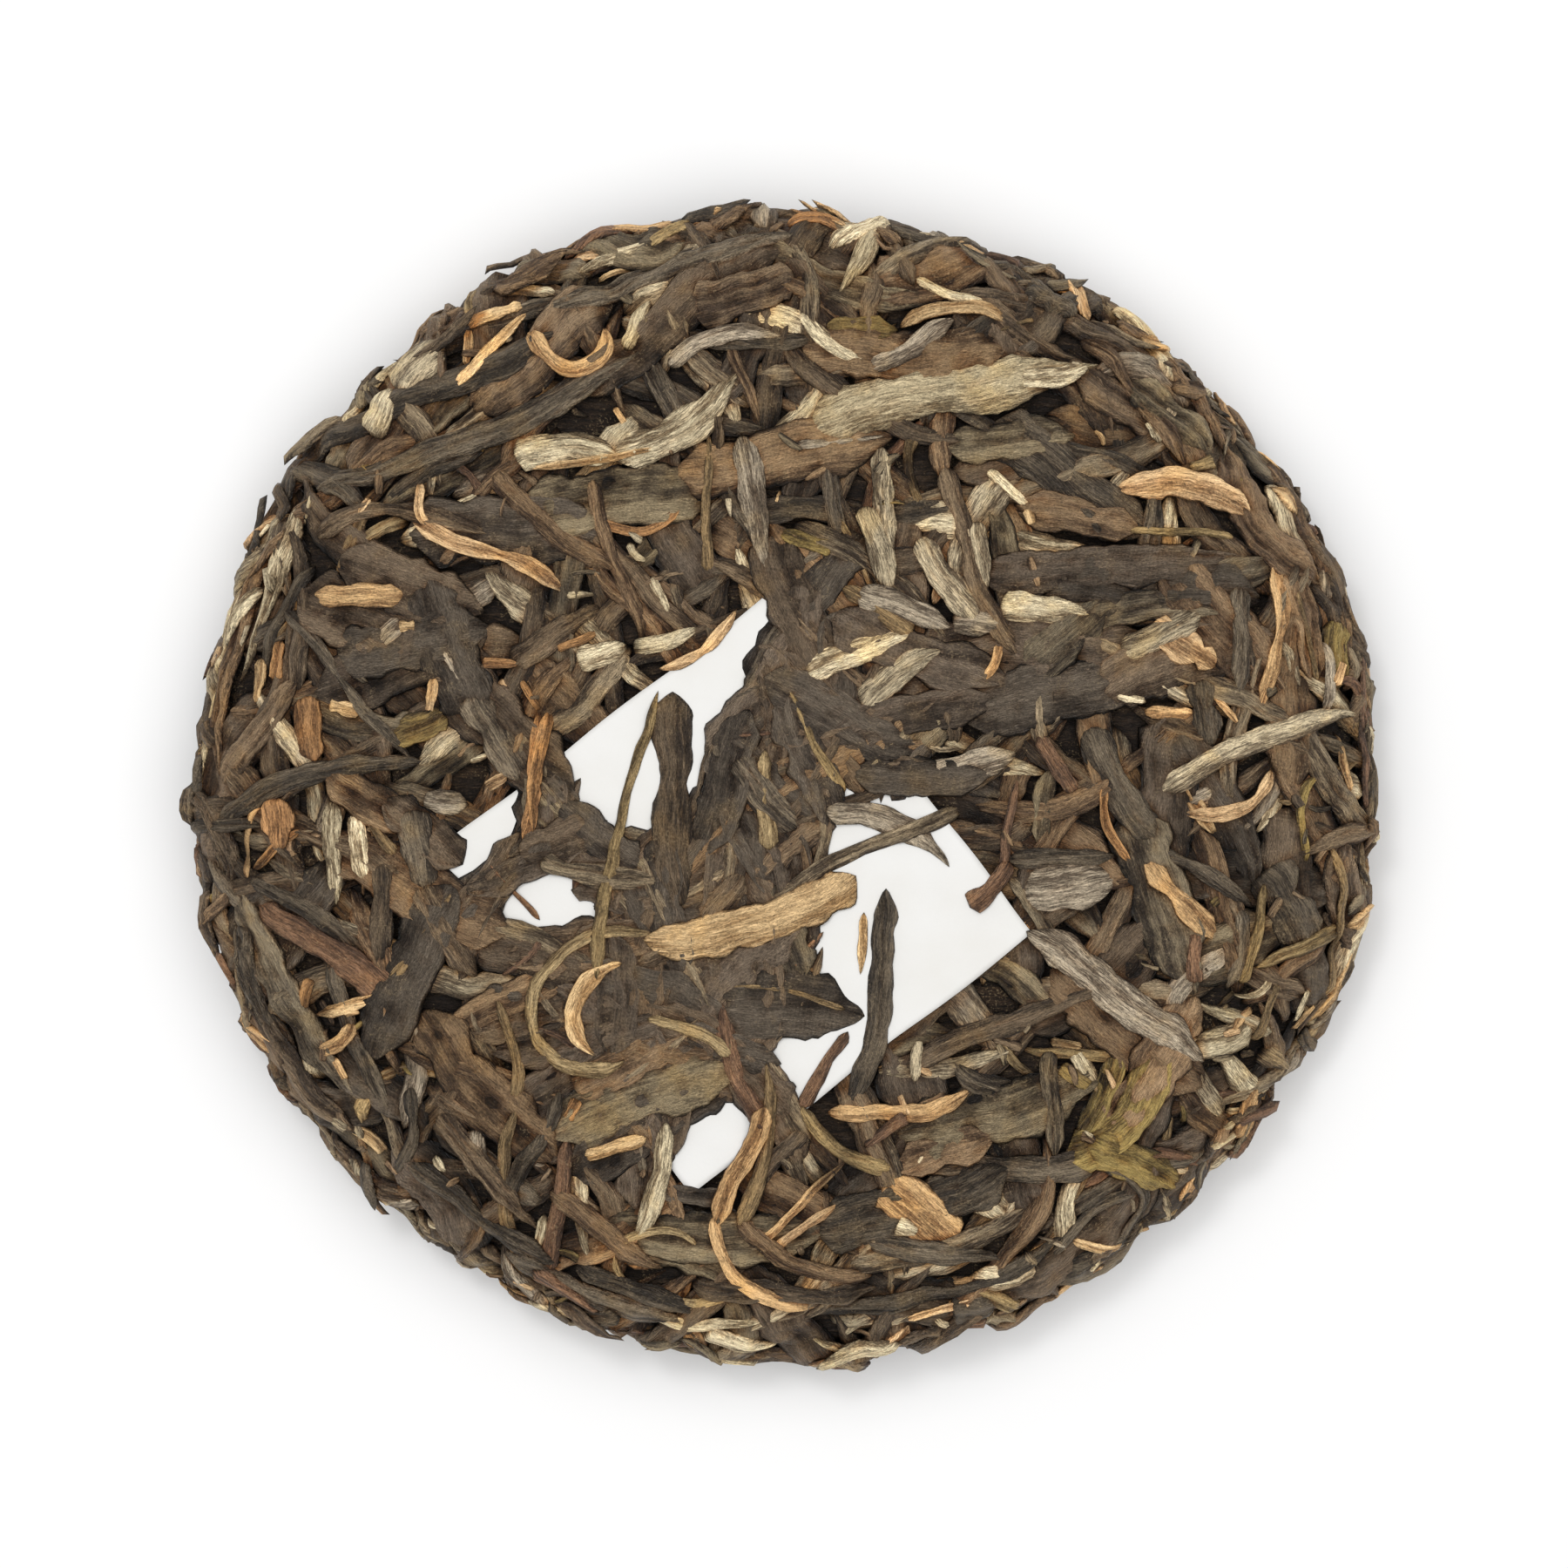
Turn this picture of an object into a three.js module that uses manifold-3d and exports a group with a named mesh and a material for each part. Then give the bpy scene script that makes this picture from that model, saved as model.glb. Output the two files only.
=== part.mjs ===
// Tea cake: whole tea leaves steamed and pressed into a round cake, with a paper ticket under the top leaves.
// Millimetres, +Z up. The origin is the middle of the plane that the underside rests on.

import * as THREE from 'three';
import { mergeVertices } from 'three/addons/utils/BufferGeometryUtils.js';
import Module from 'manifold-3d';

const wasm = await Module();
wasm.setup();

// Driving dimensions of the pressed bed, before the leaves that show on it.
const bedRadius = 74.3;
const bedTop = 20.6;
const topDome = 1.4;
const shoulderRadius = 61;
const widestHeight = 9.5;
const bedBase = 0.7;
const baseRadius = 55;
const knotRadius = 22;
const knotDepth = 5.2;
const acrossStretch = 1.01;
const alongStretch = 0.992;

// Where the rim bulges or is drawn in: the middle of the place in degrees, how far out, and its spread.
const rimSwells = [
  [20, 1.0, 20],
  [115, 1.4, 14],
  [188, 0.8, 22],
  [235, -0.7, 20],
  [318, -0.9, 12],
  [342, 0.6, 9],
];

// The bed's own unevenness, and how finely it is faceted.
const bedRelief = 0.32;
const bedRings = 15;
const bedSegments = 36;

// The paper ticket, its place on the top, and the clearance kept all round it.
const ticketSide = 54.4;
const ticketCentre = new THREE.Vector2(-6.7, -13.3);
const ticketTurn = THREE.MathUtils.degToRad(37.6);
const ticketThickness = 0.3;
const ticketDepth = 0.8;
const ticketCells = 6;
const clearance = 0.3;

// How high the leaves over the ticket bridge it, from the bed's own level.
const paperLift = -0.1;

// Details smaller than this are smoothed away once the leaves are fused.
const finest = 0.16;

// Corners closer than this are one corner, and the fused cake is gone over this often until none are left.
const cornerMerge = 1e-3;
const weldPasses = 4;
const partStep = 0.02;

// How leaves are made: the way a leaf lies in the bed, and its facets.
const leafSink = 0.6;
const flatFrom = 3.8;
const leafStep = 6;
const fewestSteps = 3;
const mostSteps = 6;
const topSeed = 11;

// Leaves that show on the top. Each row is one leaf: x and y of its first end, the way it points there in
// degrees, its length and width, and how many degrees it turns over its first half and over its second half.
const twistedLeaves = [
  [-62, 41.5, 22, 40, 3.6, -6, 12],
  [-60, 38, 14, 45, 3.4, 6, 18],
  [-31, 61, 15, 35, 3.2, 10, -20],
  [-59, 32, 32, 24, 2.6, -38, -20],
  [-66, 31, -112, 32, 2.6, 10, 20],
  [-64, 23, -48, 26, 1.9, -5, 5],
  [-72, -4.5, 40, 28, 3, -25, -18],
  [-68.5, -11.5, -22, 20, 2.4, -10, -35],
  [-24.8, 40, -80, 25, 2.2, 15, -20],
  [-37, 40, -48, 20, 3, 8, 15],
  [1, 33.5, -22, 25, 3, -15, -18],
  [20, 41, -75, 27, 2.8, 0, 25],
  [38, 58, -45, 22, 2.5, -10, -10],
  [57.7, 26, -90, 15, 3, 0, 0],
  [13.5, 72.3, -88, 12, 2.6, 10, 15],
  [5, -12.5, 45, 20, 2, -10, -10],
  [12.2, -12.5, -92, 33, 2.6, 0, -45],
  [15, -35.5, 28, 30, 3, -8, -2],
  [4, -66.5, 2, 34, 2.6, 12, 25],
  [8, -60.5, 8, 24, 3, 5, 25],
  [-28.5, -38, -95, 18, 2.3, -35, 30],
  [-47.5, -37.5, -85, 13, 1.8, -10, -35],
  [40, -48.3, 5, 19, 1.6, -95, -110],
  [34, -60, 65, 15, 1.6, -20, -55],
];
const broadLeaves = [
  [3, 45.5, 22, 37, 6.4, -15, 10],
  [-22, 42, 15, 20, 5, 20, 20],
  [-34.5, 42, 15, 14, 4, -15, -15],
  [-27, 50.5, 25, 32, 5.5, 25, -30],
  [20, 43.5, 6, 17, 5.5, 0, -5],
  [24, 27.5, 0, 33, 5, 5, -5],
  [42, 38, 12, 18, 4, -20, -30],
  [56.5, 44, -85, 24, 5.2, 25, 50],
  [30.5, -18, -32, 29, 4.8, -8, 5],
  [47.5, -0.5, 30, 29, 3.2, -5, -28],
  [61, -9, -60, 12, 6.5, 0, 0],
  [36, -45.5, 42, 17, 3.8, 15, -50],
  [-7, -25.5, -5, 17, 8.5, -5, -10],
  [-3, 8, -140, 27, 5.5, 45, -15],
  [-15.5, 12.8, -65, 24, 4.2, -25, -3],
  [2, 8, -95, 16, 4.5, 0, 0],
  [-18, -20, -85, 15, 6, 0, -10],
  [-41, -13, 20, 20, 3.8, -5, 15],
  [-69.5, -13, -72, 32, 4.6, 10, 10],
  [-43, -11, -115, 24, 7, -5, 15],
  [-57, 29, -20, 20, 7.5, 0, 0],
  [-57, 16, 8, 19, 7, 0, 0],
  [-27, -38, 25, 16, 6, 5, -10],
  [12.5, -50, -35, 12, 6.5, -5, -10],
  [-49.5, 50.5, 50, 9, 6, 0, 0],
];
const slenderLeaves = [
  [-32.3, 58.5, -80, 16, 2.3, 75, 120],
  [-47.3, 34, -28, 21.5, 2.4, 12, -25],
  [12.5, 73, -108, 16, 3, 0, -25],
  [1.5, 61, -55, 12.5, 2.2, 20, 20],
  [10, 53, 20, 13.5, 2.6, 10, 5],
  [12.3, 43.5, -100, 15, 2.6, 15, 15],
  [61.8, 29, -75, 19, 2, -25, 0],
  [61.7, 2.5, -100, 14, 2, -65, -20],
  [45.5, -9, -50, 13.5, 3.3, 5, -10],
  [60.8, -11.8, -100, 13.5, 1.7, -5, 0],
  [-31.3, -27, 88, 20.5, 1.6, -38, -92],
  [-19.5, -16.3, -30, 25, 3.6, 60, 5],
  [-31.4, -26.5, -95, 18, 1.4, 80, 85],
  [-16.7, 12.8, -103, 41, 1.7, -10, 18],
  [8, -30.7, -118, 12, 2, -5, 0],
  [-2, -36, -100, 18, 1.8, -35, -20],
  [-2.5, -40, -100, 17, 2.6, -20, 15],
  [-9, -54, -95, 20, 1.9, 60, 35],
  [5.3, -41, -2, 19, 2.4, 5, 30],
  [-21.5, -58.5, -95, 20, 1.5, 90, 35],
  [-36.6, -26.3, -68, 14, 1.8, -5, -35],
  [-33.5, -39.5, -115, 24, 2.2, 25, 35],
  [-72.5, 14, -102, 15, 2.2, 5, 0],
  [-60, 24.5, -3, 12, 3.1, 3, 5],
];

// Broad leaves that cover the middle of the ticket, each but the last four rooted in the bed beside it.
const coverLeaves = [
  [-34, -28, 20, 32, 7, 5, -10],
  [-30, -40, 35, 34, 7, 0, -10],
  [-16, -53, 62, 34, 6.5, 0, 20],
  [-4, -51, 100, 31, 6, 0, 10],
  [8, -45, 125, 30, 6.5, 0, 10],
  [-2, 31, -98, 34, 6, -5, 5],
  [4, 25, -82, 30, 6, 0, -5],
  [-51, -2, -35, 28, 6, -10, 0],
  [-45, -22, 15, 27, 6, 5, 5],
  [-12, 2, -80, 30, 8, 0, 10],
  [-20, -8, -50, 26, 7.5, 0, -5],
  [-2, -8, -100, 26, 7, 0, 5],
  [7, -2, -95, 26, 5.5, 0, -10],
];

// Two stalk ends that stand out from the rim, each with the height that it lies at.
const stalkEnds = [
  { row: [71, 8.5, 50, 12, 1.4, 15, 40], height: 12 },
  { row: [-64, -36, 132, 11, 1.5, 0, 8], height: 9 },
];

// Leaves laid by rule where no single leaf stands out: how many, and their sizes.
const rimLeaves = { count: 22, length: [16, 30], width: [3, 5.5], from: 72, to: 87 };
const undersideLeaves = { count: 15, length: [18, 32], width: [4, 7], from: 26, to: 60 };
const restLeaves = { count: 5, reach: 40, length: 22, width: 8 };
const flatness = 0.06;

// A repeatable draw between 0 and 1.
function drawFrom(seed) {
  let state = seed;
  return () => {
    state = (state * 1664525 + 1013904223) % 4294967296;
    return state / 4294967296;
  };
}

// The bed's outline from the middle of the top, over the shoulder and round to the hollow under the cake.
function bedOutline() {
  const outline = new THREE.Path();
  const shoulderHeight = bedTop - topDome;
  outline.moveTo(0, bedTop);
  outline.quadraticCurveTo(shoulderRadius / 2, bedTop, shoulderRadius, shoulderHeight);
  outline.bezierCurveTo(shoulderRadius + 7, shoulderHeight - 0.5, bedRadius, bedTop - 5, bedRadius, widestHeight);
  outline.bezierCurveTo(bedRadius, 4, baseRadius + 9, bedBase, baseRadius, bedBase);
  outline.lineTo(knotRadius, bedBase);
  const knotTop = bedBase + knotDepth;
  outline.bezierCurveTo(knotRadius - 6, bedBase, knotRadius - 8, knotTop, 0, knotTop);
  return outline;
}

const outlineSteps = 400;
const outlinePoints = bedOutline().getSpacedPoints(outlineSteps);
const outlineLength = bedOutline().getLength();
const stepLength = outlineLength / outlineSteps;
const widestStep = outlinePoints.reduce((best, point, i) => (point.x > outlinePoints[best].x ? i : best), 0);

// How far along the outline the top half reaches a given radius; past the edge it runs on down the side.
function reachAt(radius) {
  const edge = outlinePoints[widestStep].x;
  if (radius >= edge) {
    return (widestStep + 2 * (radius - edge)) * stepLength;
  }
  const after = outlinePoints.findIndex((point) => point.x > radius);
  const a = outlinePoints[after - 1];
  const b = outlinePoints[after];
  return (after - 1 + (radius - a.x) / (b.x - a.x)) * stepLength;
}

// How much further out than the plain round outline the bed lies, most at the rim and nothing in the middle.
function swellAt(radius, angle) {
  const degrees = THREE.MathUtils.radToDeg(angle);
  let out = 0;
  for (const [at, far, spread] of rimSwells) {
    const away = THREE.MathUtils.euclideanModulo(degrees - at + 180, 360) - 180;
    out += far * Math.exp(-((away / spread) ** 2));
  }
  return 1 + (out / bedRadius) * (radius / bedRadius) ** 3;
}

// A point on the bed and its outward direction, from a length along the outline and an angle round the cake.
function onBed(reach, angle) {
  const along = THREE.MathUtils.clamp(reach / stepLength, 0, outlineSteps - 1e-6);
  const i = Math.floor(along);
  const a = outlinePoints[i];
  const b = outlinePoints[i + 1];
  const place = a.clone().lerp(b, along - i);
  const run = b.clone().sub(a).normalize();
  const point = new THREE.Vector3(place.x * Math.cos(angle), place.x * Math.sin(angle), place.y);
  const outward = new THREE.Vector3(-run.y * Math.cos(angle), -run.y * Math.sin(angle), run.x);
  const swell = swellAt(place.x, angle);
  point.multiply(new THREE.Vector3(acrossStretch * swell, alongStretch * swell, 1));
  return { point, outward };
}

// The bed under a place seen from straight above.
function underPlan(x, y) {
  const radius = Math.hypot(x / acrossStretch, y / alongStretch);
  return onBed(reachAt(radius), Math.atan2(y / alongStretch, x / acrossStretch));
}

// A closed mesh as a solid, with shared corners merged and collapsed faces dropped.
function solidFrom(geometry) {
  geometry.deleteAttribute('normal');
  geometry.deleteAttribute('uv');
  const merged = mergeVertices(geometry, cornerMerge);
  const corners = merged.index.array;
  const faces = [];
  for (let i = 0; i < corners.length; i += 3) {
    const [a, b, c] = [corners[i], corners[i + 1], corners[i + 2]];
    if (a !== b && b !== c && c !== a) {
      faces.push(a, b, c);
    }
  }
  const mesh = new wasm.Mesh({
    numProp: 3,
    vertProperties: new Float32Array(merged.attributes.position.array),
    triVerts: new Uint32Array(faces),
  });
  return new wasm.Manifold(mesh);
}

// The pressed bed: a turned body with shallow lumps.
function bedSolid() {
  const profile = [];
  for (let i = 0; i <= bedRings; i += 1) {
    profile.push(outlinePoints[Math.round((i / bedRings) * outlineSteps)].clone());
  }
  profile[0].x = 0;
  profile[bedRings].x = 0;
  profile.reverse();
  const body = new THREE.LatheGeometry(profile, bedSegments);
  body.rotateX(Math.PI / 2);
  body.scale(acrossStretch, alongStretch, 1);
  const place = body.attributes.position;
  for (let i = 0; i < place.count; i += 1) {
    const [x, y, z] = [place.getX(i), place.getY(i), place.getZ(i)];
    const lump = Math.sin(0.31 * x + 1.3) * Math.cos(0.27 * y - 0.7) + 0.6 * Math.sin(0.17 * (x + y) + 2.1);
    const shift = bedRelief * lump;
    const radius = Math.hypot(x, y);
    const swell = swellAt(radius, Math.atan2(y, x)) + (shift * radius) / (bedRadius * bedRadius);
    place.setXYZ(i, x * swell, y * swell, z + shift * (1 - radius / bedRadius));
  }
  return solidFrom(body);
}

// A thin square that follows the top of the bed, between two depths, with both faces split alike.
function squareOnTop(side, low, high) {
  const rows = ticketCells + 1;
  const corners = [];
  for (const depth of [low, high]) {
    for (let j = 0; j < rows; j += 1) {
      for (let i = 0; i < rows; i += 1) {
        const local = new THREE.Vector2((i / ticketCells - 0.5) * side, (j / ticketCells - 0.5) * side);
        const plan = local.rotateAround(new THREE.Vector2(), ticketTurn).add(ticketCentre);
        corners.push(plan.x, plan.y, underPlan(plan.x, plan.y).point.z + depth);
      }
    }
  }
  const at = (layer, i, j) => layer * rows * rows + j * rows + i;
  const faces = [];
  for (let j = 0; j < ticketCells; j += 1) {
    for (let i = 0; i < ticketCells; i += 1) {
      const [a, b, c, d] = [at(1, i, j), at(1, i + 1, j), at(1, i + 1, j + 1), at(1, i, j + 1)];
      faces.push(a, b, c, a, c, d);
      const under = rows * rows;
      faces.push(a - under, c - under, b - under, a - under, d - under, c - under);
    }
  }
  for (let i = 0; i < ticketCells; i += 1) {
    const edges = [
      [at(0, i, 0), at(0, i + 1, 0)],
      [at(0, ticketCells, i), at(0, ticketCells, i + 1)],
      [at(0, i + 1, ticketCells), at(0, i, ticketCells)],
      [at(0, 0, i + 1), at(0, 0, i)],
    ];
    for (const [a, b] of edges) {
      const over = rows * rows;
      faces.push(a, b, b + over, a, b + over, a + over);
    }
  }
  const geometry = new THREE.BufferGeometry();
  geometry.setAttribute('position', new THREE.Float32BufferAttribute(corners, 3));
  geometry.setIndex(faces);
  return geometry;
}

// Whether a place seen from above is over the ticket, with a margin round it.
function overTicket(x, y, margin) {
  const local = new THREE.Vector2(x, y).sub(ticketCentre).rotateAround(new THREE.Vector2(), -ticketTurn);
  const half = ticketSide / 2 + margin;
  return Math.abs(local.x) < half && Math.abs(local.y) < half;
}

// The middle line of a leaf: two arcs, one after the other.
function leafLine([x, y, heading, length, , firstTurn, secondTurn], steps) {
  const line = [];
  const place = new THREE.Vector2(x, y);
  let course = THREE.MathUtils.degToRad(heading);
  for (let i = 0; i <= steps; i += 1) {
    line.push(place.clone());
    const turn = THREE.MathUtils.degToRad(i < steps / 2 ? firstTurn : secondTurn) / (steps / 2);
    const stride = length / steps;
    place.x += stride * Math.cos(course + turn / 2);
    place.y += stride * Math.sin(course + turn / 2);
    course += turn;
  }
  return line;
}

// One leaf as a closed strip lying on the places that it is given: a twisted one has three sides, a flat one four.
function leafSolid(row, thickness, lift, settle, draw, floor) {
  const [, , , length, width] = row;
  const steps = THREE.MathUtils.clamp(Math.round(length / leafStep), fewestSteps, mostSteps);
  const places = leafLine(row, steps).map(settle);
  const flat = width > flatFrom;
  const sides = flat ? 4 : 3;
  const corners = [];
  const phase = draw() * 6;
  places.forEach((place, i) => {
    const before = places[Math.max(0, i - 1)].point;
    const after = places[Math.min(steps, i + 1)].point;
    const run = after.clone().sub(before).normalize();
    const across = new THREE.Vector3().crossVectors(place.outward, run).normalize();
    const fullness = 0.45 + 0.55 * Math.sin(Math.PI * (0.12 + 0.76 * (i / steps)));
    const wide = width * fullness * (0.92 + 0.16 * draw());
    const high = thickness * Math.sqrt(fullness);
    const crest = 0.16 * Math.sin(phase + i);
    const edge = place.overPaper ? paperLift : -leafSink;
    const section = [
      [-0.5 * wide, edge],
      [0.5 * wide, edge],
    ];
    if (flat) {
      section.push([(0.26 + crest) * wide, high], [(-0.26 + crest) * wide, 0.86 * high]);
    } else {
      section.push([crest * wide, high]);
    }
    for (const [side, rise] of section) {
      const corner = place.point.clone();
      corner.addScaledVector(across, side).addScaledVector(place.outward, rise + lift);
      corner.z = Math.max(corner.z, floor);
      corners.push(corner.x, corner.y, corner.z);
    }
  });
  const faces = [];
  for (let i = 0; i < steps; i += 1) {
    for (let k = 0; k < sides; k += 1) {
      const a = i * sides + k;
      const b = i * sides + ((k + 1) % sides);
      faces.push(a, b, a + sides, b, b + sides, a + sides);
    }
  }
  const last = steps * sides;
  for (let k = 1; k < sides - 1; k += 1) {
    faces.push(0, k + 1, k);
    faces.push(last, last + k, last + k + 1);
  }
  const geometry = new THREE.BufferGeometry();
  geometry.setAttribute('position', new THREE.Float32BufferAttribute(corners, 3));
  geometry.setIndex(faces);
  return solidFrom(geometry);
}

// A leaf settles on the top as seen from above, on the outline measured from a pole, or at a height of its own.
function onTop(place) {
  const spot = underPlan(place.x, place.y);
  return { ...spot, overPaper: overTicket(place.x, place.y, 2) };
}

function fromTopPole(place) {
  return onBed(place.length(), place.angle());
}

function fromUnderPole(place) {
  return onBed(outlineLength - place.length(), place.angle());
}

function atHeight(height) {
  const outward = new THREE.Vector3(0, 0, 1);
  return (place) => ({ point: new THREE.Vector3(place.x, place.y, height), outward });
}

// The leaves that have a place of their own on the top.
function namedLeaves(draw) {
  const kinds = [
    { rows: coverLeaves, thickness: 0.8, lift: 0.05 },
    { rows: broadLeaves, thickness: 1.15, lift: 0.1 },
    { rows: twistedLeaves, thickness: 1.6, lift: -0.05 },
    { rows: slenderLeaves, thickness: 1.2, lift: 0.3 },
  ];
  const leaves = [];
  for (const { rows, thickness, lift } of kinds) {
    for (const row of rows) {
      leaves.push(leafSolid(row, thickness, lift * (0.5 + draw()), onTop, draw, 0));
    }
  }
  for (const { row, height } of stalkEnds) {
    leaves.push(leafSolid(row, row[4], 0, atHeight(height), draw, 0));
  }
  return leaves;
}

// Leaves by rule: spaced evenly round the cake, each running round it with a small slant.
function ruledLeaves({ count, length, width, from, to }, thickness, lift, settle, draw) {
  const leaves = [];
  const between = (range) => THREE.MathUtils.lerp(range[0], range[1], draw());
  for (let i = 0; i < count; i += 1) {
    const angle = (i + 0.6 * draw()) * ((2 * Math.PI) / count);
    const reach = THREE.MathUtils.lerp(from, to, (i * 0.618034 + 0.2 * draw()) % 1);
    const long = between(length);
    const slant = (draw() - 0.5) * 50;
    const turn = THREE.MathUtils.radToDeg(long / reach);
    const heading = THREE.MathUtils.radToDeg(angle) + 90 + slant;
    const row = [reach * Math.cos(angle), reach * Math.sin(angle), heading, long, between(width), turn / 2, turn / 2];
    const floor = flatness * (1 + draw());
    leaves.push(leafSolid(row, thickness, lift * (0.5 + draw()), settle, draw, floor));
  }
  return leaves;
}

// The flattened leaves that the cake rests on, evenly spaced and clear of each other.
function restingLeaves(draw) {
  const { count, reach, length, width } = restLeaves;
  const leaves = [];
  for (let i = 0; i < count; i += 1) {
    const angle = -Math.PI / 2 + (i * 2 * Math.PI) / count;
    const place = new THREE.Vector2(reach, -length / 2).rotateAround(new THREE.Vector2(), angle);
    const row = [place.x, place.y, THREE.MathUtils.radToDeg(angle) + 90, length, width, 0, 0];
    leaves.push(leafSolid(row, 1.6, 0, fromUnderPole, draw, 0));
  }
  return leaves;
}

// The cake: the bed with a recess for the ticket, and every leaf fused on; only the one whole body is kept.
function cakeSolid() {
  const draw = drawFrom(topSeed);
  const recess = ticketSide + 2 * clearance;
  const floor = -ticketDepth - clearance;
  const ceiling = -ticketDepth + ticketThickness + clearance;
  let cake = bedSolid().subtract(solidFrom(squareOnTop(recess, floor, bedTop)));
  const leaves = [
    ...namedLeaves(draw),
    ...ruledLeaves(rimLeaves, 1.5, -0.1, fromTopPole, draw),
    ...ruledLeaves(undersideLeaves, 1.2, -0.2, fromUnderPole, draw),
    ...restingLeaves(draw),
  ];
  for (const leaf of leaves) {
    cake = cake.add(leaf);
  }
  cake = cake.subtract(solidFrom(squareOnTop(recess, floor, ceiling)));
  return largestBody(cake).simplify(finest);
}

// The largest of a solid's bodies: loose scraps are dropped, and hollows that the fusing sealed are filled.
function largestBody(solid) {
  return solid.decompose().reduce((best, body) => (body.volume() > best.volume() ? body : best));
}

function geometryOf(solid) {
  const mesh = solid.getMesh();
  const geometry = new THREE.BufferGeometry();
  geometry.setAttribute('position', new THREE.Float32BufferAttribute(mesh.vertProperties, 3));
  geometry.setIndex(new THREE.Uint32BufferAttribute(mesh.triVerts, 1));
  geometry.computeVertexNormals();
  return geometry;
}

// Where two corners of different leaves touch, each is drawn back into its own leaf, so that every edge is its own.
function partTouching(geometry) {
  const place = geometry.attributes.position;
  const inward = geometry.attributes.normal;
  const taken = new Map();
  for (let i = 0; i < place.count; i += 1) {
    const spot = [place.getX(i), place.getY(i), place.getZ(i)];
    const name = spot.map((value) => Math.round(value / cornerMerge)).join(' ');
    const earlier = taken.get(name) || [];
    taken.set(name, [...earlier, i]);
  }
  for (const touching of taken.values()) {
    if (touching.length > 1) {
      touching.forEach((i, order) => {
        const back = partStep * (order + 1);
        place.setX(i, place.getX(i) - inward.getX(i) * back);
        place.setY(i, place.getY(i) - inward.getY(i) * back);
        place.setZ(i, Math.max(0, place.getZ(i) - inward.getZ(i) * back));
      });
    }
  }
}

const leafFinish = new THREE.MeshStandardMaterial({ color: 0x6c5d4b, roughness: 0.72, metalness: 0 });
const paperFinish = new THREE.MeshStandardMaterial({ color: 0xf2f1ee, roughness: 0.8, metalness: 0 });

// Both pieces are shifted so that the cake's box stands centred on the origin.
let cakeShape = geometryOf(cakeSolid());
cakeShape.computeBoundingBox();
const middle = cakeShape.boundingBox.getCenter(new THREE.Vector3());
const shift = [-middle.x, -middle.y, -cakeShape.boundingBox.min.z];
cakeShape.translate(...shift);
for (let pass = 0; pass < weldPasses; pass += 1) {
  cakeShape = geometryOf(largestBody(solidFrom(cakeShape)));
  partTouching(cakeShape);
}
const teaCake = new THREE.Mesh(cakeShape, leafFinish);
teaCake.name = 'tea_cake';

const paper = squareOnTop(ticketSide, -ticketDepth, -ticketDepth + ticketThickness);
paper.translate(...shift);
paper.computeVertexNormals();
const ticket = new THREE.Mesh(paper, paperFinish);
ticket.name = 'ticket';

const group = new THREE.Group();
group.add(teaCake, ticket);

export default group;
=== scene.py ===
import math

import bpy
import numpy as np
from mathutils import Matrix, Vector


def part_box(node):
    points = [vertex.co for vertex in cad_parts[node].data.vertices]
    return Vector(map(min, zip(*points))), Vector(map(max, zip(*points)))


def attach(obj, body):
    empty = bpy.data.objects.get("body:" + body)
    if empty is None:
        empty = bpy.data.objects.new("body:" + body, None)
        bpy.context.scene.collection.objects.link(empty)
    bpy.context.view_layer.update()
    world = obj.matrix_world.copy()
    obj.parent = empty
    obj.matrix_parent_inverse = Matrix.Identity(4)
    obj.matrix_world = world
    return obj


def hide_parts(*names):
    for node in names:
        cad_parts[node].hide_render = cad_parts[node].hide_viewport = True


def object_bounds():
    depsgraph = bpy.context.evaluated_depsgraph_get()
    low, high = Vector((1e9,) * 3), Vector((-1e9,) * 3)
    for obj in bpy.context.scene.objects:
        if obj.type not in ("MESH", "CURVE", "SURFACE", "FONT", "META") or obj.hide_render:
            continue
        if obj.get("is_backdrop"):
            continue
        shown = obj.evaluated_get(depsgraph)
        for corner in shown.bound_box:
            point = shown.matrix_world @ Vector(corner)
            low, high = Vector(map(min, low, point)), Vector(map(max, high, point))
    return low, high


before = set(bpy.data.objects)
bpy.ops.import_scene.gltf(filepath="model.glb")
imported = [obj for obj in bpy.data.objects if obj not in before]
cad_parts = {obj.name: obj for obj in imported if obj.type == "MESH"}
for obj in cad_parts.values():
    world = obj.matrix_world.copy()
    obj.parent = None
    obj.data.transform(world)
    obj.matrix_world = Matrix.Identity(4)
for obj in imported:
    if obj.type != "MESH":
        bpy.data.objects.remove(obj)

# %% [markdown]
# A tea cake is several hundred whole tea leaves, steamed soft and pressed in a cloth bag into one round
# cake. Everything that shows is therefore leaves: twisted ones, folded ones, silver buds, tan strips, stems
# and crumbs, with a small paper ticket pressed in under the top leaves. This lesson makes each kind as real
# closed strips that are laid one by one on the cake, because a painted or bumped disc would show no gaps,
# crossings or loose ends.

cad_low, cad_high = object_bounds()
ticket_low, ticket_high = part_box("ticket")
MM = 0.001
print("cake box in mm:", [round((b - a) / MM, 1) for a, b in zip(cad_low, cad_high)])

# %% [markdown]
# The pressed bed is a turned shape: a low dome, a round shoulder, a side that draws in to a flat base, and
# the hollow that the knot of the cloth leaves underneath. Leaves follow that surface, so the lesson first
# makes a chart of it: a reach along the outline from the middle of one face, and an angle round the cake. A
# leaf is drawn on the flat chart and then carried onto the cake, which bends it over the rim as the press
# does.

# %% The outline of the bed, as a chart
BED_RADIUS, BED_TOP, TOP_DOME = 74.3, 20.6, 1.4
SHOULDER_RADIUS, WIDEST_HEIGHT = 61.0, 9.5
BASE_HEIGHT, BASE_RADIUS = 0.7, 55.0
KNOT_RADIUS, KNOT_DEPTH = 22.0, 5.2
# The cake is a little longer from left to right than a round one, and a little shorter from top to bottom.
ACROSS, ALONG = 1.01, 0.992
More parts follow.
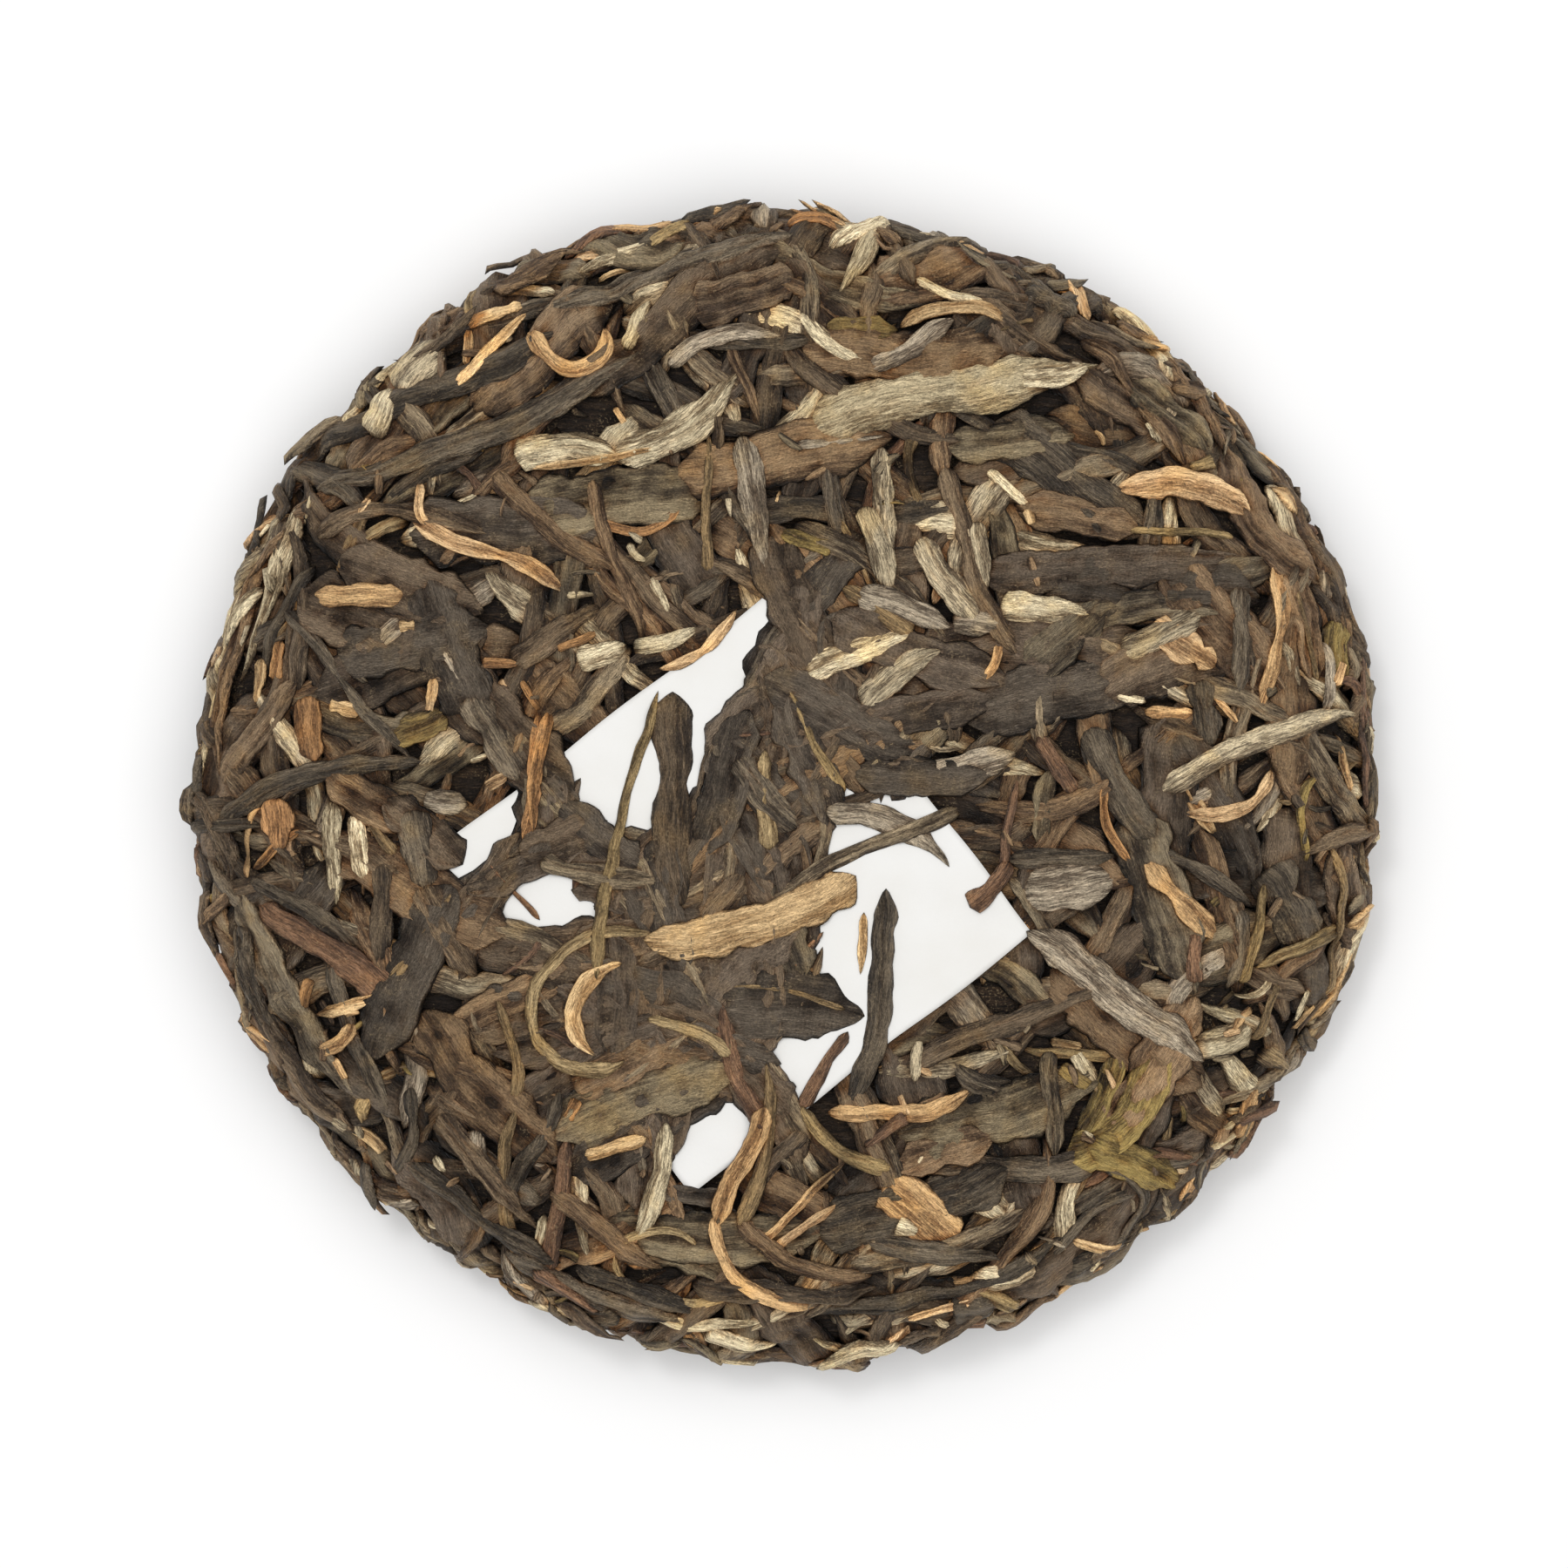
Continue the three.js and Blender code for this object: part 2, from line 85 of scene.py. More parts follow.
# Where the rim swells or draws in: the angle, how far out, and how many degrees it spreads.
RIM_SWELLS = [(20, 1.0, 20), (115, 1.4, 14), (188, 0.8, 22), (235, -0.7, 20), (318, -0.9, 12), (342, 0.6, 9)]
CURVE_POINTS, CHART_POINTS = 200, 640
# No leaf goes lower than this over the floor.
LEAST_HEIGHT = 0.04


def bezier(*controls):
    """Points along a Bezier curve with any number of control points."""
    t = np.linspace(0, 1, CURVE_POINTS)[:, None]
    layer = [np.array(c, float)[None, :] + 0 * t for c in controls]
    while len(layer) > 1:
        layer = [a * (1 - t) + b * t for a, b in zip(layer, layer[1:])]
    return layer[0]


shoulder = BED_TOP - TOP_DOME
knot_top = BASE_HEIGHT + KNOT_DEPTH
# The points between two named ones only pull the curve round.
outline = np.vstack([
    bezier((0, BED_TOP), (SHOULDER_RADIUS / 2, BED_TOP), (SHOULDER_RADIUS, shoulder)),
    bezier((SHOULDER_RADIUS, shoulder), (SHOULDER_RADIUS + 7, shoulder - 0.5), (BED_RADIUS, BED_TOP - 5),
           (BED_RADIUS, WIDEST_HEIGHT))[1:],
    bezier((BED_RADIUS, WIDEST_HEIGHT), (BED_RADIUS, 4), (BASE_RADIUS + 9, BASE_HEIGHT),
           (BASE_RADIUS, BASE_HEIGHT))[1:],
    bezier((BASE_RADIUS, BASE_HEIGHT), (KNOT_RADIUS, BASE_HEIGHT))[1:],
    bezier((KNOT_RADIUS, BASE_HEIGHT), (KNOT_RADIUS - 6, BASE_HEIGHT), (KNOT_RADIUS - 8, knot_top),
           (0, knot_top))[1:],
])
walked = np.concatenate([[0], np.cumsum(np.hypot(*np.diff(outline, axis=0).T))])
LENGTH = walked[-1]
REACH = np.linspace(0, LENGTH, CHART_POINTS)
RADIUS = np.interp(REACH, walked, outline[:, 0])
HEIGHT = np.interp(REACH, walked, outline[:, 1])


def smoothed(values, width):
    """Running mean along the first axis, with the ends held."""
    kernel = np.hanning(width + 2)[1:-1]
    kernel /= kernel.sum()
    pad = [(width // 2, width // 2)] + [(0, 0)] * (values.ndim - 1)
    padded = np.pad(values, pad, mode="edge")
    return np.apply_along_axis(lambda line: np.convolve(line, kernel, mode="valid"), 0, padded)


run = smoothed(np.gradient(np.stack([RADIUS, HEIGHT], axis=1), axis=0), 21)
run /= np.linalg.norm(run, axis=1)[:, None]
OUT_R, OUT_Z = -run[:, 1], run[:, 0]
WIDEST = int(RADIUS.argmax())
# The ticket's middle, turn and side. The shift brings the chart onto the frame's own ticket.
TICKET_CENTRE, TICKET_TURN, TICKET_SIDE = (-6.7, -13.3), math.radians(37.6), 54.4
SHIFT = ((ticket_low.x + ticket_high.x) / 2 / MM - TICKET_CENTRE[0],
         (ticket_low.y + ticket_high.y) / 2 / MM - TICKET_CENTRE[1])


def swell(radius, angle):
    """How much further out than a plain round outline the cake lies."""
    out = 0
    for at, far, spread in RIM_SWELLS:
        away = (np.degrees(angle) - at + 180) % 360 - 180
        out = out + far * np.exp(-((away / spread) ** 2))
    return 1 + out / BED_RADIUS * (radius / BED_RADIUS) ** 3


def on_cake(side, u, v, height):
    """Carries chart points onto the cake, in the frame's millimetres. side is top or under."""
    reach, angle = np.hypot(u, v), np.arctan2(v, u)
    along = reach if side == "top" else LENGTH - reach
    radius = np.interp(along, REACH, RADIUS)
    out_r, out_z = np.interp(along, REACH, OUT_R), np.interp(along, REACH, OUT_Z)
    radius_now = radius * swell(radius, angle) + out_r * height
    x = radius_now * np.cos(angle) * ACROSS + SHIFT[0]
    y = radius_now * np.sin(angle) * ALONG + SHIFT[1]
    z = np.interp(along, REACH, HEIGHT) + out_z * height
    return np.stack([x, y, np.maximum(z, LEAST_HEIGHT)], axis=-1)


def chart_from_above(x, y):
    """The chart point of the top that is seen at a place from straight above."""
    angle = np.arctan2(y / ALONG, x / ACROSS)
    radius = np.hypot(x / ACROSS, y / ALONG)
    radius = radius / swell(radius, angle)
    reach = np.interp(radius, RADIUS[:WIDEST + 1], REACH[:WIDEST + 1])
    reach = np.maximum(reach, radius)
    return reach * np.cos(angle), reach * np.sin(angle)


print("outline length in mm:", round(LENGTH, 1), "widest at reach", round(REACH[WIDEST], 1))

# %% [markdown]
# Each leaf must lie on those laid before it. A height map does that: a square grid over the chart that
# holds how high the heap has grown. A new leaf reads the map along its length, settles on it, and then
# raises it. A physics simulation could do the same, but it takes minutes and leaves a loose pile, where the
# real cake is pressed level.

# %% The height map of the heap
# The side of one square of the map, half the map's width, and the height of the core under all leaves.
CELL, HALF, CORE_LEVEL = 0.3, 99.0, -3.0


class Heap:
    """How high the leaves lie on one face, in millimetres over the bed's outline."""

    def __init__(self):
        count = int(2 * HALF / CELL)
        self.level = np.full((count, count), CORE_LEVEL)

    def cells(self, u, v):
        last = self.level.shape[0] - 1
        column = np.clip(((u + HALF) / CELL).astype(int), 0, last)
        row = np.clip(((v + HALF) / CELL).astype(int), 0, last)
        return row, column

    def at(self, u, v):
        return self.level[self.cells(u, v)]

    def raise_to(self, u, v, height):
        np.maximum.at(self.level, self.cells(u, v), height)


heaps = {"top": Heap(), "under": Heap()}
rng = np.random.default_rng(5)


def from_ticket(x, y):
    """Places seen from above, measured along the ticket's two sides from its middle."""
    away_x, away_y = x - TICKET_CENTRE[0], y - TICKET_CENTRE[1]
    across = away_x * math.cos(TICKET_TURN) + away_y * math.sin(TICKET_TURN)
    up = -away_x * math.sin(TICKET_TURN) + away_y * math.cos(TICKET_TURN)
    return across, up


def in_ticket(x, y, margin=0.0):
    """Whether places seen from above lie on the ticket, with a margin round it."""
    across, up = from_ticket(x, y)
    half = TICKET_SIDE / 2 + margin
    return (np.abs(across) < half) & (np.abs(up) < half)


# %% [markdown]
# Tea comes in a few kinds, and each is a strip with its own section and its own colours. A twisted leaf is
# rolled on itself, so ridges run round it like a rope. A folded leaf is broad and flat, with one edge
# turned over. A bud is plump, silver and finely furred. A strip is thin with curled edges, and a stem is
# nearly round. The colours are pairs: the ground of the leaf's skin, and the paler tone of its fibres and
# crests, whose paleness is partly wear and partly a painted highlight. They were read from the photograph
# and then adjusted until a render had its tones.

# %% Kinds of leaf
COLOURS = {
    "D": [((60, 47, 34), (112, 94, 72)), ((52, 42, 32), (96, 81, 63)), ((69, 52, 37), (124, 100, 73)),
          ((60, 49, 37), (130, 114, 90))],
    "K": [((49, 42, 34), (90, 79, 64)), ((54, 46, 37), (104, 92, 75))],
    "B": [((62, 49, 37), (112, 93, 71)), ((76, 58, 41), (132, 107, 78)), ((56, 47, 37), (116, 103, 82)),
          ((80, 62, 45), (130, 106, 79)), ((70, 59, 44), (130, 115, 89))],
    "G": [((114, 97, 72), (202, 186, 152)), ((98, 84, 65), (180, 164, 134)),
          ((122, 103, 76), (206, 190, 156)), ((92, 79, 64), (158, 144, 123))],
    "P": [((138, 118, 88), (198, 182, 148)), ((130, 110, 80), (190, 173, 138))],
    "T": [((152, 118, 77), (204, 172, 126)), ((138, 104, 68), (194, 158, 111)),
          ((146, 113, 78), (198, 166, 124))],
    "A": [((104, 74, 44), (164, 122, 78)), ((94, 66, 41), (146, 108, 70))],
    "O": [((84, 68, 42), (140, 118, 80)), ((74, 59, 38), (124, 102, 70)), ((96, 78, 51), (160, 138, 100))],
    "C": [((58, 48, 38), (96, 83, 69)), ((52, 44, 36), (86, 76, 64)), ((62, 50, 38), (104, 88, 70))],
    "Y": [((84, 69, 38), (134, 114, 66)), ((76, 61, 36), (122, 102, 60))],
    "R": [((72, 52, 38), (120, 90, 66)), ((62, 46, 35), (106, 80, 60))],
}
# Each kind: its section, the piece that it belongs to, and the lengths and widths that it is drawn from.
KINDS = {
    "D": ("twist", "dark_twists", (18, 42), (2.3, 4.4)),
    "K": ("twist", "black_twists", (17, 36), (2.2, 4.2)),
    "B": ("fold", "brown_folds", (15, 33), (4.2, 8.6)),
    "C": ("fold", "dark_blades", (16, 32), (4.8, 9.0)),
    "G": ("bud", "silver_buds", (13, 29), (2.6, 5.2)),
    "P": ("bud", "silver_buds", (8, 16), (1.7, 3.0)),
    "T": ("strip", "tan_strips", (7, 18), (1.4, 3.2)),
    "A": ("strip", "tan_strips", (5, 12), (1.2, 2.6)),
    "O": ("stem", "olive_stems", (14, 30), (1.3, 2.4)),
    "Y": ("fold", "olive_stems", (9, 17), (2.8, 5.0)),
    "R": ("stem", "red_twigs", (10, 24), (1.3, 2.4)),
}
# How thick each section is: a share of the leaf's width, and the most that it may be.
THICKNESS = {"twist": (0.40, 1.35), "fold": (0.17, 0.95), "bud": (0.32, 1.2), "strip": (0.24, 0.6),
             "stem": (0.42, 1.0)}
# The share of its length that each section takes to fill out at its start and at its end.
TIPS = {"twist": (0.12, 0.34), "fold": (0.20, 0.34), "bud": (0.16, 0.55), "strip": (0.20, 0.30),
        "stem": (0.20, 0.12)}
# The share of the heap's height over the pressed level that a leaf on top keeps, and a leaf further down.
LIFT = {"strip": 0.8, "stem": 0.65, "bud": 0.45, "twist": 0.28, "fold": 0.28}
SUNK_LIFT = 0.12
# A leaf that keeps more than this share is stiff, and rides on the highest thing under it.
STIFF_LIFT = 0.3
# The most height that the share is taken of.
MOST_OVER = 1.3
# Each rank of leaf: millimetres between its rings, points over its top, and the highest that it may lie.
RANKS = {"deep": (2.2, 5, -1.5), "middle": (1.3, 9, -0.6), "show": (0.75, 13, -0.05)}


def linear(colour):
    """A colour as it looks, from 0 to 255, as the light that a shader works in."""
    c = np.asarray(colour, float) / 255
    return np.where(c < 0.04045, c / 12.92, ((c + 0.055) / 1.055) ** 2.4)


def waves(along, count, scale):
    """A smooth wandering line between about -1 and 1, from a few sines with drawn phases."""
    total = 0
    for i in range(1, count + 1):
        size = math.cos(rng.uniform(0, 6.3))
        total = total + size * np.sin(along * scale * i + rng.uniform(0, 6.3)) / math.sqrt(i)
    return total


# %% [markdown]
# One function makes any leaf. It walks a middle line with two bends, sets the width along it, reads the
# heap underneath at five points across, smooths that as a stiff leaf would, and presses it towards the
# level that the press allows, broad leaves further than stiff narrow ones. Then it raises the kind's own
# section over that base. The leaf is kept as a closed strip with a point at both ends, still on the flat
# chart, because the map has to be raised before the next leaf is laid.

# %% Laying one leaf
PROBES = np.array([-1, -0.5, 0, 0.5, 1])
# The thinnest skin of a leaf over its base, how deep its keel goes under it, and how much lower the leaves
# under the ticket are pressed, in millimetres.
SKIN, KEEL, UNDER_PAPER = 0.05, 0.2, 0.95
# The share of a leaf at each end that is tucked down, and the longest gap that raising the map may leave.
TIP_SHARE, FILL_STEP = 0.16, 0.24
laid = []


def width_along(section, tau, taper):
    """How full the leaf is along its length, from 0 at its tips to about 1."""
    start, end = TIPS[section]
    start, end = start * taper * rng.uniform(0.7, 1.7), end * taper * rng.uniform(0.6, 1.5)
    full = np.minimum(1, tau / start) ** 0.7 * np.minimum(1, (1 - tau) / end) ** 0.8
    full = full * (0.72 + 0.4 * tau ** 2 if section == "stem" else 1)
    waist = rng.uniform(0, 0.5 if section in ("twist", "strip") else 0.25)
    return full * (1 - waist * np.exp(-((tau - rng.uniform(0.15, 0.85)) / rng.uniform(0.06, 0.14)) ** 2))


def creases(tau, ts, along, count, winding):
    """Straight faces between creases that wander along the leaf, from 0 to 1."""
    homes = np.linspace(-0.8, 0.8, count) + rng.uniform(-0.5, 0.5, count) / count
    highs = np.where(np.arange(count) % 2 == rng.integers(2), 1.0, 0.12) + rng.normal(0, 0.12, count)
    lines = np.stack([homes[j] + winding * along + 0.10 * waves(along, 2, 0.5) for j in range(count)], axis=1)
    heights = np.stack([highs[j] + 0.20 * waves(along, 2, 0.6) for j in range(count)], axis=1)
    lines = (lines + 1) % 2 - 1
    rise = np.empty((len(tau), len(ts)))
    for i in range(len(tau)):
        order = np.argsort(lines[i])
        rise[i] = np.interp(ts, lines[i][order], heights[i][order])
    return np.clip(rise, 0, 1.3)


def section_rise(section, tau, ts, along):
    """The leaf's own height over its base, from 0 to about 1, and where an edge is turned over."""
    t, far = ts[None, :], along[:, None]
    phase = rng.uniform(0, 6.3)
    round_top = np.sqrt(np.clip(1 - t * t, 0, 1))
    edge = np.clip((1 - np.abs(t)) * 7, 0, 1)
    lip = rng.uniform(-0.5, 0.5) + 0.22 * waves(along, 2, 0.25)[:, None]
    turned = 1 / (1 + np.exp(-(t - lip) * 16 * rng.choice([-1, 1])))
    if section == "twist":
        winding = rng.uniform(0.015, 0.07) * rng.choice([-1, 1])
        folded = creases(tau, ts, along, int(rng.integers(4, 7)), winding)
        rise = round_top * (0.42 + 0.50 * folded + 0.20 * turned)
    elif section == "fold":
        folded = creases(tau, ts, along, int(rng.integers(4, 7)), 0.0)
        ripple = 0.16 * np.sin(1.1 * far + 2.4 * t + phase) + 0.10 * np.sin(2.3 * far - 3.4 * t + 2 * phase)
        rise = (0.22 + 0.46 * folded + ripple + 0.42 * turned) * edge
    elif section == "bud":
        folded = creases(tau, ts, along, int(rng.integers(4, 7)), rng.normal(0, 0.012))
        rise = round_top * (0.52 + 0.36 * folded + 0.18 * turned)
    elif section == "strip":
        folded = creases(tau, ts, along, 3, 0.0)
        rise = (0.20 + 0.35 * folded + rng.uniform(0.1, 0.6) * t * t + 0.35 * turned) * edge
    else:
        folded = creases(tau, ts, along, 4, rng.normal(0, 0.02))
        rise = round_top * (0.50 + 0.45 * folded)
    return rise, turned


def across_weights(ts):
    """How each point across a leaf mixes the five heights that were read under it."""
    return np.stack([np.interp(ts, PROBES, np.eye(5)[i]) for i in range(5)])


def leaf_course(length, heading, turns, steps, wander):
    """Places along a middle line that starts at 0, 0, and its direction at each."""
    x = np.linspace(0, 1, steps + 1)
    tau = 0.65 * x + 0.35 * (0.5 - 0.5 * np.cos(math.pi * x))
    first, second = math.radians(turns[0]), math.radians(turns[1])
    course = math.radians(heading) + np.where(tau < 0.5, 2 * tau * first, first + 2 * (tau - 0.5) * second)
    course = course + wander * waves(tau * length, 3, 0.35)
    middle = (course[1:] + course[:-1]) / 2
    stride = np.diff(tau) * length
    u = np.concatenate([[0], np.cumsum(np.cos(middle) * stride)])
    v = np.concatenate([[0], np.cumsum(np.sin(middle) * stride)])
    return tau, u, v, course


def lay(kind, side, u, v, heading, length, width, turns=(0, 0), rank="show", bare=None, limit=None,
        tuck=0.6, pair=None, lifted=0.0):
    """Lays one leaf that starts at chart point u, v. Returns False if it would cover a bare place.

    limit is the highest that it may lie, tuck how far its tips go down and lifted how far its end goes up, in
    millimetres. pair picks one of its kind's colour pairs.
    """
    section, piece = KINDS[kind][:2]
    step, over, highest = RANKS[rank]
    highest = highest if limit is None else limit
    steps = int(np.clip(round(length / step), 5, 50))
    tau, du, dv, course = leaf_course(length, heading, turns, steps, 0.09 if rank == "show" else 0.16)
    u, v = u + du, v + dv
    along = tau * length
    half = 0.5 * width * width_along(section, tau, 0.6 if rank == "show" else 0.9)
    ragged = 0.11 if section in ("fold", "strip") else 0.09
    halves = [np.maximum(half * (1 + ragged * (waves(along, 3, 0.5) + 0.5 * waves(along, 2, 1.5))), 0.03)
              for _ in range(2)]
    left = np.stack([-np.sin(course), np.cos(course)])
    probe_half = np.where(PROBES < 0, halves[0][:, None], halves[1][:, None])
    probe_u = u[:, None] + left[0][:, None] * probe_half * PROBES
    probe_v = v[:, None] + left[1][:, None] * probe_half * PROBES
    if bare is not None and bare(probe_u, probe_v):
        return False
    heap = heaps[side]
    base = heap.at(probe_u, probe_v)
    supple = 0.8 if section == "fold" else 0.5
    base = supple * base + (1 - supple) * base.mean(axis=1, keepdims=True)
    lift = LIFT[section] if rank == "show" else SUNK_LIFT
    if lift > STIFF_LIFT:
        base = 0.4 * base + 0.6 * base.max(axis=1, keepdims=True) + 0.1
    base = smoothed(base, 2 * int(np.clip(round(1.8 / step), 1, 4)) + 1)
    on_paper = in_ticket(probe_u, probe_v, 1.5) if side == "top" else np.zeros(base.shape, bool)
    ceiling = np.full_like(base, highest)
    if rank != "show":
        ceiling = np.where(on_paper, ceiling - UNDER_PAPER, ceiling)
    base = np.where(base > ceiling, ceiling + np.minimum(base - ceiling, MOST_OVER) * lift, base)
    starts, ends = 1 - tau / TIP_SHARE, (tau - (1 - TIP_SHARE)) / TIP_SHARE
    tips = np.clip(starts, 0, 1) ** 1.5 + np.clip(ends, 0, 1) ** 1.5
    woven = (0.2 if rank == "show" else 0.75) * np.clip(waves(along, 2, 0.26), 0, 1)
    base = base - np.where(on_paper, 0, (tuck * (tips + woven))[:, None]) + lifted * (tau ** 2)[:, None]
    ts = np.sin(np.linspace(-math.pi / 2, math.pi / 2, over))
    if section in ("fold", "strip"):
        ts = np.linspace(-1, 1, over)
    part, most = THICKNESS[section]
    thick = min(part * width, most) * rng.uniform(0.85, 1.15)
    thick = thick * np.interp(np.hypot(u, v), (30, 62), (0.8, 1.15))[:, None]
    rise, turned = section_rise(section, tau, ts, along)
    full = np.sqrt(np.clip(half / (0.5 * width), 0, 1))[:, None]
    top = base @ across_weights(ts) + thick * rise * full + SKIN
    point_half = np.where(ts < 0, halves[0][:, None], halves[1][:, None])
    grid_u = u[:, None] + left[0][:, None] * point_half * ts
    grid_v = v[:, None] + left[1][:, None] * point_half * ts
    spread_over(heap, grid_u, grid_v, top)
    keel = base.mean(axis=1, keepdims=True) - KEEL
    rings = np.stack([np.hstack([grid_u, u[:, None]]), np.hstack([grid_v, v[:, None]]),
                      np.hstack([top, keel])], axis=-1)
    pairs = COLOURS[kind]
    own, tone = pairs[rng.integers(len(pairs)) if pair is None else pair]
    laid.append({
        "piece": piece, "side": side, "rank": rank, "rings": rings, "length": length, "width": width,
        "along": along, "across": np.hstack([point_half * ts, 0 * keel]),
        "rise": np.hstack([rise * full, 0 * keel]), "turned": np.hstack([turned, 0 * keel]),
        "own": linear(own), "tone": linear(tone),
        "shade": float(np.exp(rng.normal(0, 0.12))), "number": rng.uniform(0, 400),
    })
    return True


def spread_over(heap, u, v, top):
    """Raises the heap under a whole leaf, by filling in between its rings and points."""
    long = np.hypot(np.diff(u, axis=0), np.diff(v, axis=0)).max()
    wide = np.hypot(np.diff(u, axis=1), np.diff(v, axis=1)).max()
    rows = np.linspace(0, u.shape[0] - 1, int((u.shape[0] - 1) * max(1, math.ceil(long / FILL_STEP))) + 1)
    columns = np.linspace(0, u.shape[1] - 1, int((u.shape[1] - 1) * max(1, math.ceil(wide / FILL_STEP))) + 1)
    r0 = np.minimum(rows.astype(int), u.shape[0] - 2)
    c0 = np.minimum(columns.astype(int), u.shape[1] - 2)
    fr, fc = (rows - r0)[:, None], (columns - c0)[None, :]
    full = []
    for a in (u, v, top):
        low = a[np.ix_(r0, c0)] * (1 - fc) + a[np.ix_(r0, c0 + 1)] * fc
        high = a[np.ix_(r0 + 1, c0)] * (1 - fc) + a[np.ix_(r0 + 1, c0 + 1)] * fc
        full.append(low * (1 - fr) + high * fr)
    heap.raise_to(*full)


# %% [markdown]
# Most leaves have no place of their own: they fill the cake evenly, in every direction, and near the rim
# they run round it. Each is drawn from a seeded generator, tried at several spots, and laid at the lowest
# one, so that the heap grows level without bare patches. A particle system would scatter them too, but it
# can't make one leaf rest on another.

# %% Filling both faces
MIXTURE = [("D", 0.27), ("K", 0.09), ("C", 0.11), ("B", 0.14), ("G", 0.19), ("P", 0.03), ("T", 0.045),
           ("A", 0.02), ("O", 0.05), ("Y", 0.02), ("R", 0.035)]
names = [name for name, share in MIXTURE]
shares = np.array([share for name, share in MIXTURE])
shares /= shares.sum()
# Each face is filled this far past the widest line, so that the two overlap.
OVERLAP = 3.0
EQUATOR = {"top": REACH[WIDEST] + OVERLAP, "under": LENGTH - REACH[WIDEST] + OVERLAP}
# How many spots are tried for each leaf, over the ticket and for each crumb.
SPOTS, TICKET_SPOTS, CRUMB_SPOTS = 9, 14, 4
# A height over every heap, given to a spot where no leaf may lie.
NO_SPOT = 9


def random_reach(side, farthest, count):
    """Reaches from the middle of a face, drawn so that every square millimetre is as likely."""
    reach = np.linspace(0, farthest, 200)
    radius = np.interp(reach if side == "top" else LENGTH - reach, REACH, RADIUS)
    share = np.cumsum(radius)
    return np.interp(rng.uniform(0, 1, count), share / share[-1], reach)


def fill(side, rank, count, limit=None):
    """Lays a number of drawn leaves over one whole face."""
    heap = heaps[side]
    for _ in range(count):
        kind = rng.choice(names, p=shares)
        reach = random_reach(side, EQUATOR[side], SPOTS)
        angle = rng.uniform(0, 2 * math.pi, SPOTS)
        u, v = reach * np.cos(angle), reach * np.sin(angle)
        low = sum(heap.at(u + a, v + b) for a, b in ((0, 0), (1.5, 0), (-1.5, 0), (0, 1.5), (0, -1.5)))
        best = int(low.argmin())
        lengths, widths = KINDS[kind][2:]
        length, width = rng.uniform(*lengths), rng.uniform(*widths)
        near_rim = np.clip((reach[best] - 45) / 30, 0, 1)
        round_it = math.degrees(angle[best]) + rng.choice([90, -90]) + rng.normal(0, 34)
        heading = round_it if rng.uniform() < 0.75 * near_rim else rng.uniform(0, 360)
        bend = math.degrees(length / max(reach[best], 20)) * near_rim
        turn = np.sign(math.sin(math.radians(heading - math.degrees(angle[best])))) * bend / 2
        turns = (turn + rng.normal(0, 24), turn + rng.normal(0, 36))
        u0 = u[best] - 0.5 * length * math.cos(math.radians(heading + turns[0]))
        v0 = v[best] - 0.5 * length * math.sin(math.radians(heading + turns[0]))
        lay(kind, side, u0, v0, heading, length, width, turns, rank, limit=limit, tuck=1.0)


fill("top", "deep", 650)
fill("top", "middle", 420, limit=-0.9)
fill("top", "middle", 420, limit=-0.35)
print("laid on top:", len(laid), "leaves; heap level:",
      np.percentile(heaps["top"].at(*np.mgrid[-40:40:1, -40:40:1]), [5, 50, 95]).round(2))

# %% [markdown]
# The ticket is a square of thin white paper that the maker lays on the leaves before the last ones go in.
# It is bare on both faces. It is made as a closed sheet that takes up the lumps of the leaves beneath it,
# softened as paper does, and the heap is raised to it, so that the leaves over it lie on the paper.

# %% The paper ticket
PAPER_LEVEL, PAPER_THICK, PAPER_CELLS = -0.62, 0.12, 72
# How far the leaves beneath it stay under the paper.
PAPER_CLEAR = 0.3


def ticket_rings():
    """The upper face of the ticket as a square grid of chart points, and its height at each."""
    line = np.linspace(-0.5, 0.5, PAPER_CELLS + 1) * TICKET_SIDE
    a, b = np.meshgrid(line, line, indexing="ij")
    wobble = 0.18 * np.sin(a * 0.23 + 1.0) * (np.abs(b) / 27) ** 3
    a, b = a + 0.14 * np.sin(b * 0.31) * (np.abs(a) / 27) ** 3, b + wobble
    x = TICKET_CENTRE[0] + a * math.cos(TICKET_TURN) - b * math.sin(TICKET_TURN)
    y = TICKET_CENTRE[1] + a * math.sin(TICKET_TURN) + b * math.cos(TICKET_TURN)
    u, v = chart_from_above(x, y)
    rough = heaps["top"].at(u, v)
    soft = smoothed(smoothed(rough, 9).T, 9).T
    softer = smoothed(smoothed(soft, 15).T, 15).T
    height = PAPER_LEVEL + 0.55 * (soft - softer) + 0.25 * (softer - softer.mean())
    crease = 0.05 * np.sin(0.9 * a + 0.5 * b) * np.sin(0.21 * b + 1) + 0.04 * np.sin(0.6 * b - 0.3 * a + 2)
    return u, v, height + crease


paper_u, paper_v, paper_top = ticket_rings()


def paper_height(x, y):
    """How high the paper lies at places seen from above."""
    row, column = [np.clip(((w / TICKET_SIDE + 0.5) * PAPER_CELLS).round().astype(int), 0, PAPER_CELLS)
                   for w in from_ticket(x, y)]
    return paper_top[row, column]


# Here near the middle a chart point and the place seen from above agree to about half a millimetre.
for leaf in laid:
    rings = leaf["rings"]
    over_it = in_ticket(rings[..., 0], rings[..., 1], 1.2)
    lowest = paper_height(rings[..., 0], rings[..., 1]) - PAPER_CLEAR
    rings[..., 2] = np.where(over_it, np.minimum(rings[..., 2], lowest), rings[..., 2])
grid_x, grid_y = np.meshgrid(*[np.arange(heaps["top"].level.shape[0]) * CELL - HALF + CELL / 2] * 2)
on_it = in_ticket(grid_x, grid_y, 0.3)
heaps["top"].level = np.where(on_it, paper_height(grid_x, grid_y), heaps["top"].level)
print("paper lies between", paper_top.min().round(2), "and", paper_top.max().round(2), "mm of the outline")

